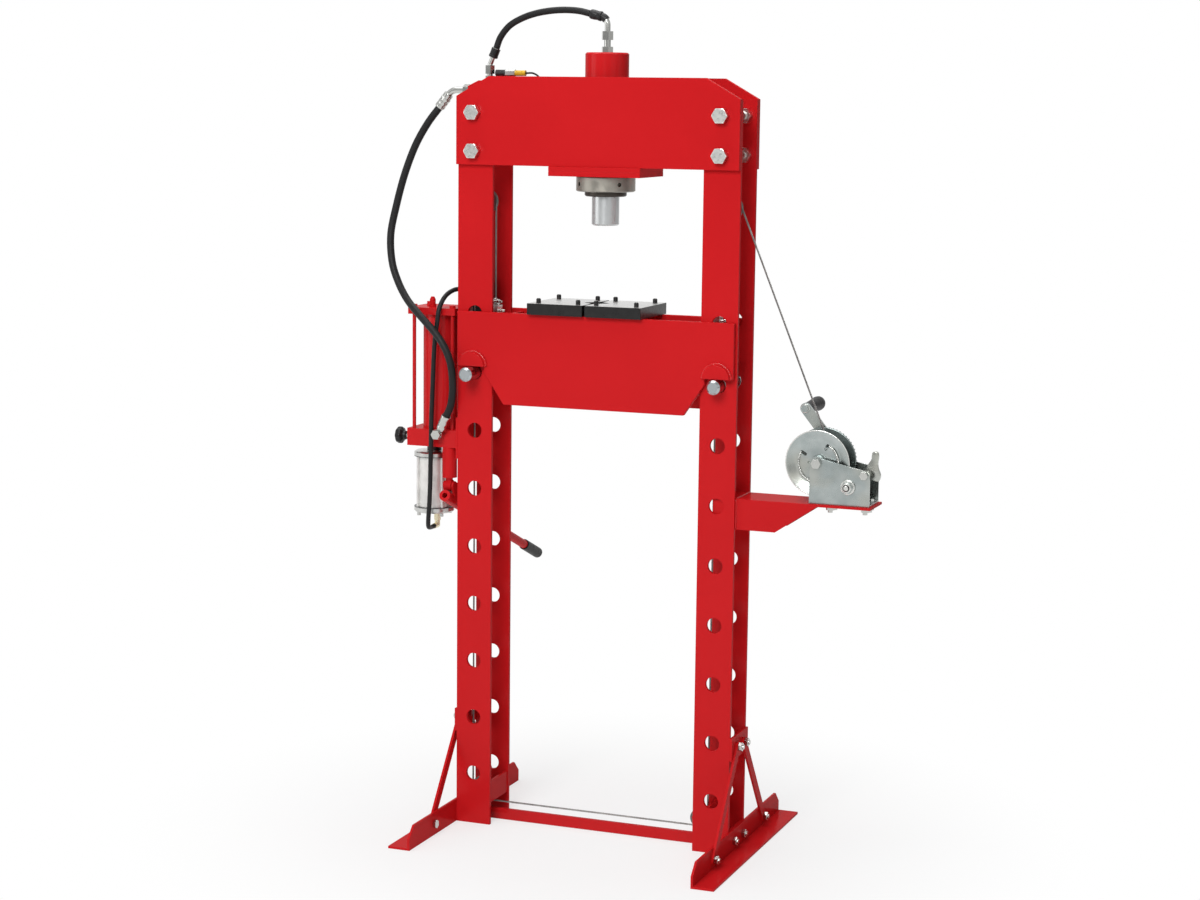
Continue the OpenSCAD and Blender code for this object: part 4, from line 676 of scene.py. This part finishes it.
# Rolled lip of the drum's dished flange
LIP_R = 67.4
LIP_Y = -32.2
lip = [on_circle(DRUM_X, LIP_Y, DRUM_Z, LIP_R, 2.5 * i) for i in range(145)]
# Painted highlight: the lip, part of the flange's sheet, is given the brighter bolt zinc
add_piece("drum_rolled_lip", tube(metres(lip), 0.0012, 10, False), "winch_drum", "zinc_bright")

# Lock nut, end and washer of the drive shaft
SHAFT_X = 553.675
SHAFT_Z = 805.037
NUT_FACE_Y = -50
WASHER_FACE_Y = -42.4
nut_face = (SHAFT_X, NUT_FACE_Y, SHAFT_Z)
shaft_front = (SHAFT_X, NUT_FACE_Y - 10, SHAFT_Z)
turned("shaft_nut_collar", (SHAFT_X, NUT_FACE_Y + 0.1, SHAFT_Z), shaft_front,
       [(0, 10.4), (2.4, 10.0), (3.3, 9.0), (3.4, 7.6), (3.4, 0.2)], "winch_crank", "zinc_bright", 48)
turned("shaft_nut_insert", nut_face, shaft_front,
       [(0, 7.4), (3.7, 7.4), (3.7, 0.2)], "winch_crank", "plastic", 48)
turned("shaft_tip", nut_face, shaft_front,
       [(0, 5.2), (5.2, 5.2), (6.2, 4.3), (6.2, 0.2)], "winch_crank", "zinc_bright", 48)
turned("shaft_washer_edge", (SHAFT_X, WASHER_FACE_Y, SHAFT_Z), (SHAFT_X, 0, SHAFT_Z),
       [(0, 13.4), (0.1, 14.4), (0.6, 15.2), (1.2, 15.5), (3.4, 15.5), (3.6, 14.8)],
       "winch_crank", "zinc_bright", 64)

# Wire rope clip at the bed's left end: sleeve on the cable, bolt with nuts, cut end of the cable
CLIP_Z = 1143
CLIP_BOLT_Y = -5.5
clip_bolt_z = CLIP_Z + 8
turned("clip_sleeve", (DROP_X, 0, CLIP_Z), (DROP_X, 0, CLIP_Z + 15),
       [(0, 4.2), (0.6, 5.0), (5, 5.0), (6, 4.4), (9, 4.4), (10, 5.0), (14, 5.0), (15, 3.6)],
       "bed", "fitting")
turned("clip_bolt", (DROP_X - 14, CLIP_BOLT_Y, clip_bolt_z), (DROP_X, CLIP_BOLT_Y, clip_bolt_z),
       [(0, 2.2), (0.6, 2.7), (3, 2.7), (3, 5.2), (8.5, 5.2), (8.5, 3.4), (20, 3.4), (20, 5.2), (25, 5.2),
        (25, 2.7), (30, 2.7), (30.6, 2.2)], "bed", "fitting", 12)
cut_end = smooth_path([(DROP_X - 6.8, 0.5, CLIP_Z - 3), (DROP_X - 7.0, 0.5, CLIP_Z + 9),
                       (DROP_X - 8.5, 0.5, CLIP_Z + 15), (DROP_X - 12, 0.5, CLIP_Z + 18)])
add_piece("clip_cable_end", rope(metres(cut_end), CABLE_R, 0.026, 0.003), "bed", "rope")

# Black sleeve on the bend above the ram
BEND_R = 18
BEND_Z = 1739
bend = [on_circle(-BEND_R, 0, BEND_Z, BEND_R, 77.5 - 42.5 * i / 12) for i in range(13)]
sleeve = add_piece("ram_bend_sleeve", tube(metres(bend), 0.0084, 24), "frame", "plastic")
crease(sleeve, 40)

# Release knob: eight shallow flutes, a domed face and a neck, as (x, radius, share of the flute's depth)
KNOB_Z = 846.0
KNOB_SIDES = 96
KNOB_FLUTES = 8
FLUTE_DEPTH = 0.085
KNOB_PROFILE = [
    (-464, 5.2, 0), (-464, 8.6, 0), (-465, 9.6, 0), (-470, 10.2, 0), (-472, 13.6, 0.3), (-473.4, 16.8, 0.9),
    (-475, 18.2, 1), (-477, 18.5, 1), (-482.5, 18.5, 1), (-484.6, 17.8, 1), (-486.2, 15.6, 0.7),
    (-487.2, 12.0, 0.2), (-487.6, 6.0, 0), (-487.7, 0.3, 0)]


def knob_ring(x, radius, flute):
    ring = []
    for k in range(KNOB_SIDES):
        angle = 2 * math.pi * k / KNOB_SIDES
        hollow = (0.5 - 0.5 * math.cos(KNOB_FLUTES * angle)) ** 2
        reach = radius * (1 - FLUTE_DEPTH * flute * hollow)
        ring.append((x, reach * math.sin(angle), KNOB_Z + reach * math.cos(angle)))
    return metres(ring)


knob_skin = loft([knob_ring(*place) for place in KNOB_PROFILE])
knob = add_piece("release_knob_turned", knob_skin, "knob", "plastic", "release_knob")
crease(knob, 50)
SPINDLE_X = -420
turned("release_spindle", (SPINDLE_X, 0, KNOB_Z), (SPINDLE_X - 80, 0, KNOB_Z),
       [(0, 4.9), (20.6, 4.9), (20.6, 7.5), (26, 7.5), (26, 4.9), (46, 4.9)], "knob", "fitting", 24)

# Washer under the bolt of the crank's grip
GRIP_X = 433.71
GRIP_Z = 951.08
CRANK_FACE_Y = 50.0
turned("crank_grip_washer", (GRIP_X, CRANK_FACE_Y, GRIP_Z), (GRIP_X, 0, GRIP_Z),
       [(0, 9.6), (1.3, 9.6), (1.8, 9.0), (1.8, 0.2)], "winch_crank", "zinc_bright", 48)

# Pawl: bent lever with a wide foot, bored for its shaft; its outline is in mm from the shaft
PAWL_PLACE = (587.0, -12.0, 831.0)
PAWL_HALF = 4.0
PAWL_EDGE = 0.7
PAWL_BORE_R = 6.2
PAWL_OUTLINE = [
    (20.5, 47.2), (16.2, 48.2), (12.0, 47.2), (9.8, 44.6), (9.1, 39.0), (9.0, 33.5), (7.4, 29.5),
    (4.7, 25.6), (2.2, 22.0), (0.2, 18.3), (-0.9, 13.5), (-2.6, 9.4), (-5.6, 7.4), (-8.2, 4.0),
    (-9.4, 1.0), (-14.7, -6.4), (-17.4, -12.3), (-15.1, -15.4), (-6.4, -13.8), (4.0, -10.4),
    (13.0, -12.2), (21.0, -13.6), (25.0, -12.4), (26.8, -9.0), (28.1, -4.0), (28.0, 0.6),
    (26.8, 5.0), (24.9, 9.0), (23.6, 12.6), (22.3, 18.0), (21.9, 24.0), (22.5, 30.0),
    (23.2, 35.1), (23.2, 40.0), (22.6, 44.6)]


def plate_mesh(name, outlines, half, edge):
    """Plate from flat outlines in mm, an outer one and holes, with rounded edges."""
    flat = bpy.data.curves.new(name, "CURVE")
    flat.dimensions = "2D"
    flat.fill_mode = "BOTH"
    flat.extrude = (half - edge) * MM
    flat.bevel_depth = edge * MM
    flat.bevel_resolution = 1
    flat.offset = -edge * MM
    for outline in outlines:
        spline = flat.splines.new("POLY")
        spline.points.add(len(outline) - 1)
        spline.use_cyclic_u = True
        for point, (x, z) in zip(spline.points, outline):
            point.co = (x * MM, z * MM, 0.0, 1.0)
    holder = bpy.data.objects.new(name, flat)
    mesh = bpy.data.meshes.new_from_object(holder)
    bpy.data.objects.remove(holder)
    bpy.data.curves.remove(flat)
    mesh.name = name
    mesh.materials.clear()
    for polygon in mesh.polygons:
        polygon.use_smooth = True
    return mesh


bore_points = [on_circle(0.0, 0.0, 0.0, PAWL_BORE_R, 15 * i) for i in range(24)]
pawl_mesh = plate_mesh("pawl_bent", [PAWL_OUTLINE, [(p.x, p.z) for p in bore_points]], PAWL_HALF, PAWL_EDGE)
stand_up = Matrix.Rotation(math.pi / 2, 4, "X")
pawl_mesh.transform(Matrix.Translation(Vector(PAWL_PLACE) * MM) @ stand_up)
pawl = link("pawl_bent", pawl_mesh, "winch_pawl", "zinc", "pawl")
weld_points(pawl)
crease(pawl, 50)

# Camera at the photograph's place, fitted to the frame's edges and holes
CAMERA_PLACE = (1.8677, -4.8337, 1.5985)
CAMERA_LENS = 73.41
azimuth = math.radians(21.19)
roll = math.radians(0.66)
forward = Vector((-0.3577, 0.9226, -0.1444)).normalized()
level_right = Vector((math.cos(azimuth), math.sin(azimuth), 0))
level_up = level_right.cross(forward)
camera_right = math.cos(roll) * level_right + math.sin(roll) * level_up
camera_up = math.cos(roll) * level_up - math.sin(roll) * level_right
camera_data = bpy.data.cameras.new("photo_camera")
camera_data.lens = CAMERA_LENS
camera_data.sensor_width = 36.0
camera_data.sensor_fit = "HORIZONTAL"
camera_data.dof.use_dof = False
camera_data.clip_end = 100.0
camera = bpy.data.objects.new("photo_camera", camera_data)
camera_turn = Matrix((camera_right, camera_up, -forward)).transposed().to_4x4()
camera.matrix_world = Matrix.Translation(CAMERA_PLACE) @ camera_turn
scene.collection.objects.link(camera)
scene.camera = camera

# Floor: plain and pale, keeps the shadow near the object and runs out to white
FLOOR_R = 14.0
FLOOR_SIDES = 64
SHADOW_R = 0.3
WHITE_R = 1.1
SHADOW_WHITE = 0.62


def seen_rays(tree):
    """1 for what the camera sees, straight or by way of metal or glass."""
    rays = add_node(tree, "ShaderNodeLightPath").outputs
    bent = maths(tree, "ADD", rays["Is Glossy Ray"], rays["Is Transmission Ray"])
    return maths(tree, "ADD", rays["Is Camera Ray"], bent)


def floor_material():
    material, tree, shader = new_material("floor")
    shader.inputs["Base Color"].default_value = (0.90, 0.90, 0.90, 1.0)
    shader.inputs["Roughness"].default_value = 0.85
    shader.inputs["Specular IOR Level"].default_value = 0.1
    away = add_node(tree, "ShaderNodeVectorMath", operation="LENGTH")
    tree.links.new(coords(tree), away.inputs[0])
    fade = remap(tree, away.outputs["Value"], SHADOW_R, WHITE_R, SHADOW_WHITE, 1.0, "SMOOTHSTEP")
    white = add_node(tree, "ShaderNodeEmission")
    white.inputs["Color"].default_value = (1, 1, 1, 1)
    white.inputs["Strength"].default_value = 1.0
    blend = add_node(tree, "ShaderNodeMixShader")
    tree.links.new(maths(tree, "MULTIPLY", fade, seen_rays(tree)), blend.inputs[0])
    tree.links.new(shader.outputs[0], blend.inputs[1])
    tree.links.new(white.outputs[0], blend.inputs[2])
    surface = next(n for n in tree.nodes if n.type == "OUTPUT_MATERIAL")
    tree.links.new(blend.outputs[0], surface.inputs["Surface"])
    return material


floor_turns = [2 * math.pi * i / FLOOR_SIDES for i in range(FLOOR_SIDES)]
floor_rim = [(FLOOR_R * math.cos(turn), FLOOR_R * math.sin(turn), 0.0) for turn in floor_turns]
floor = bpy.data.objects.new("floor", mesh_from("floor", floor_rim, [tuple(range(FLOOR_SIDES))], False))
floor.data.materials.append(floor_material())
floor.location = (0, 0, -0.0005)
scene.collection.objects.link(floor)


# World: white behind the object, and a dim patchy room as light and in reflections
def build_world():
    world = bpy.data.worlds.new("studio")
    world.use_nodes = True
    tree = world.node_tree
    tree.nodes.clear()
    sky = add_node(tree, "ShaderNodeTexCoord").outputs["Generated"]
    rays = add_node(tree, "ShaderNodeLightPath").outputs

    # The room: brighter upwards, with soft panels, and stronger in reflections
    upwards = [(0.0, grey(0.55)), (0.35, grey(0.75)), (0.9, grey(1.0))]
    height = ramp(tree, component(tree, sky, "Z"), upwards)
    patches = add_node(tree, "ShaderNodeTexNoise")
    patches.inputs["Scale"].default_value = 1.9
    patches.inputs["Detail"].default_value = 0.5
    tree.links.new(sky, patches.inputs["Vector"])
    panels = ramp(tree, patches.outputs["Fac"], [(0.40, grey(0.12)), (0.58, grey(1.0))])
    room = add_node(tree, "ShaderNodeBackground")
    tree.links.new(mix_colour(tree, 0.5, height, panels), room.inputs["Color"])
    tree.links.new(remap(tree, rays["Is Glossy Ray"], 0.0, 1.0, 0.33, 0.95), room.inputs["Strength"])

    # The backdrop: white for the camera, and for bent rays that go on behind the object
    backdrop = add_node(tree, "ShaderNodeBackground")
    backdrop.inputs["Color"].default_value = (1, 1, 1, 1)
    backdrop.inputs["Strength"].default_value = 1.0
    facing = add_node(tree, "ShaderNodeVectorMath", operation="DOT_PRODUCT")
    facing.inputs[1].default_value = (-math.sin(azimuth), math.cos(azimuth), 0.0)
    tree.links.new(sky, facing.inputs[0])
    behind = remap(tree, facing.outputs["Value"], 0.62, 0.95, kind="SMOOTHSTEP")
    bent = maths(tree, "ADD", rays["Is Glossy Ray"], rays["Is Transmission Ray"])
    bent_behind = maths(tree, "MULTIPLY", bent, behind)
    shown = add_node(tree, "ShaderNodeMixShader")
    tree.links.new(maths(tree, "ADD", rays["Is Camera Ray"], bent_behind), shown.inputs[0])
    tree.links.new(room.outputs[0], shown.inputs[1])
    tree.links.new(backdrop.outputs[0], shown.inputs[2])
    output = add_node(tree, "ShaderNodeOutputWorld")
    tree.links.new(shown.outputs[0], output.inputs[0])
    return world


scene.world = build_world()


# Lamps
def area(name, place, target, size, power):
    lamp_data = bpy.data.lights.new(name, "AREA")
    lamp_data.energy = power
    lamp_data.size = size
    lamp = bpy.data.objects.new(name, lamp_data)
    lamp.location = place
    lamp.rotation_euler = (Vector(target) - Vector(place)).to_track_quat("-Z", "Y").to_euler()
    scene.collection.objects.link(lamp)
    return lamp


key = area("key", (0.2, -4.6, 3.8), (0, 0, 0.9), 2.2, 165.0)
top = area("top", (-0.3, 0.3, 4.4), (0, 0, 0.8), 3.0, 90.0)
fill = area("fill", (-3.6, -2.4, 1.6), (0, 0, 0.8), 2.0, 20.0)
scene.view_settings.view_transform = "Standard"
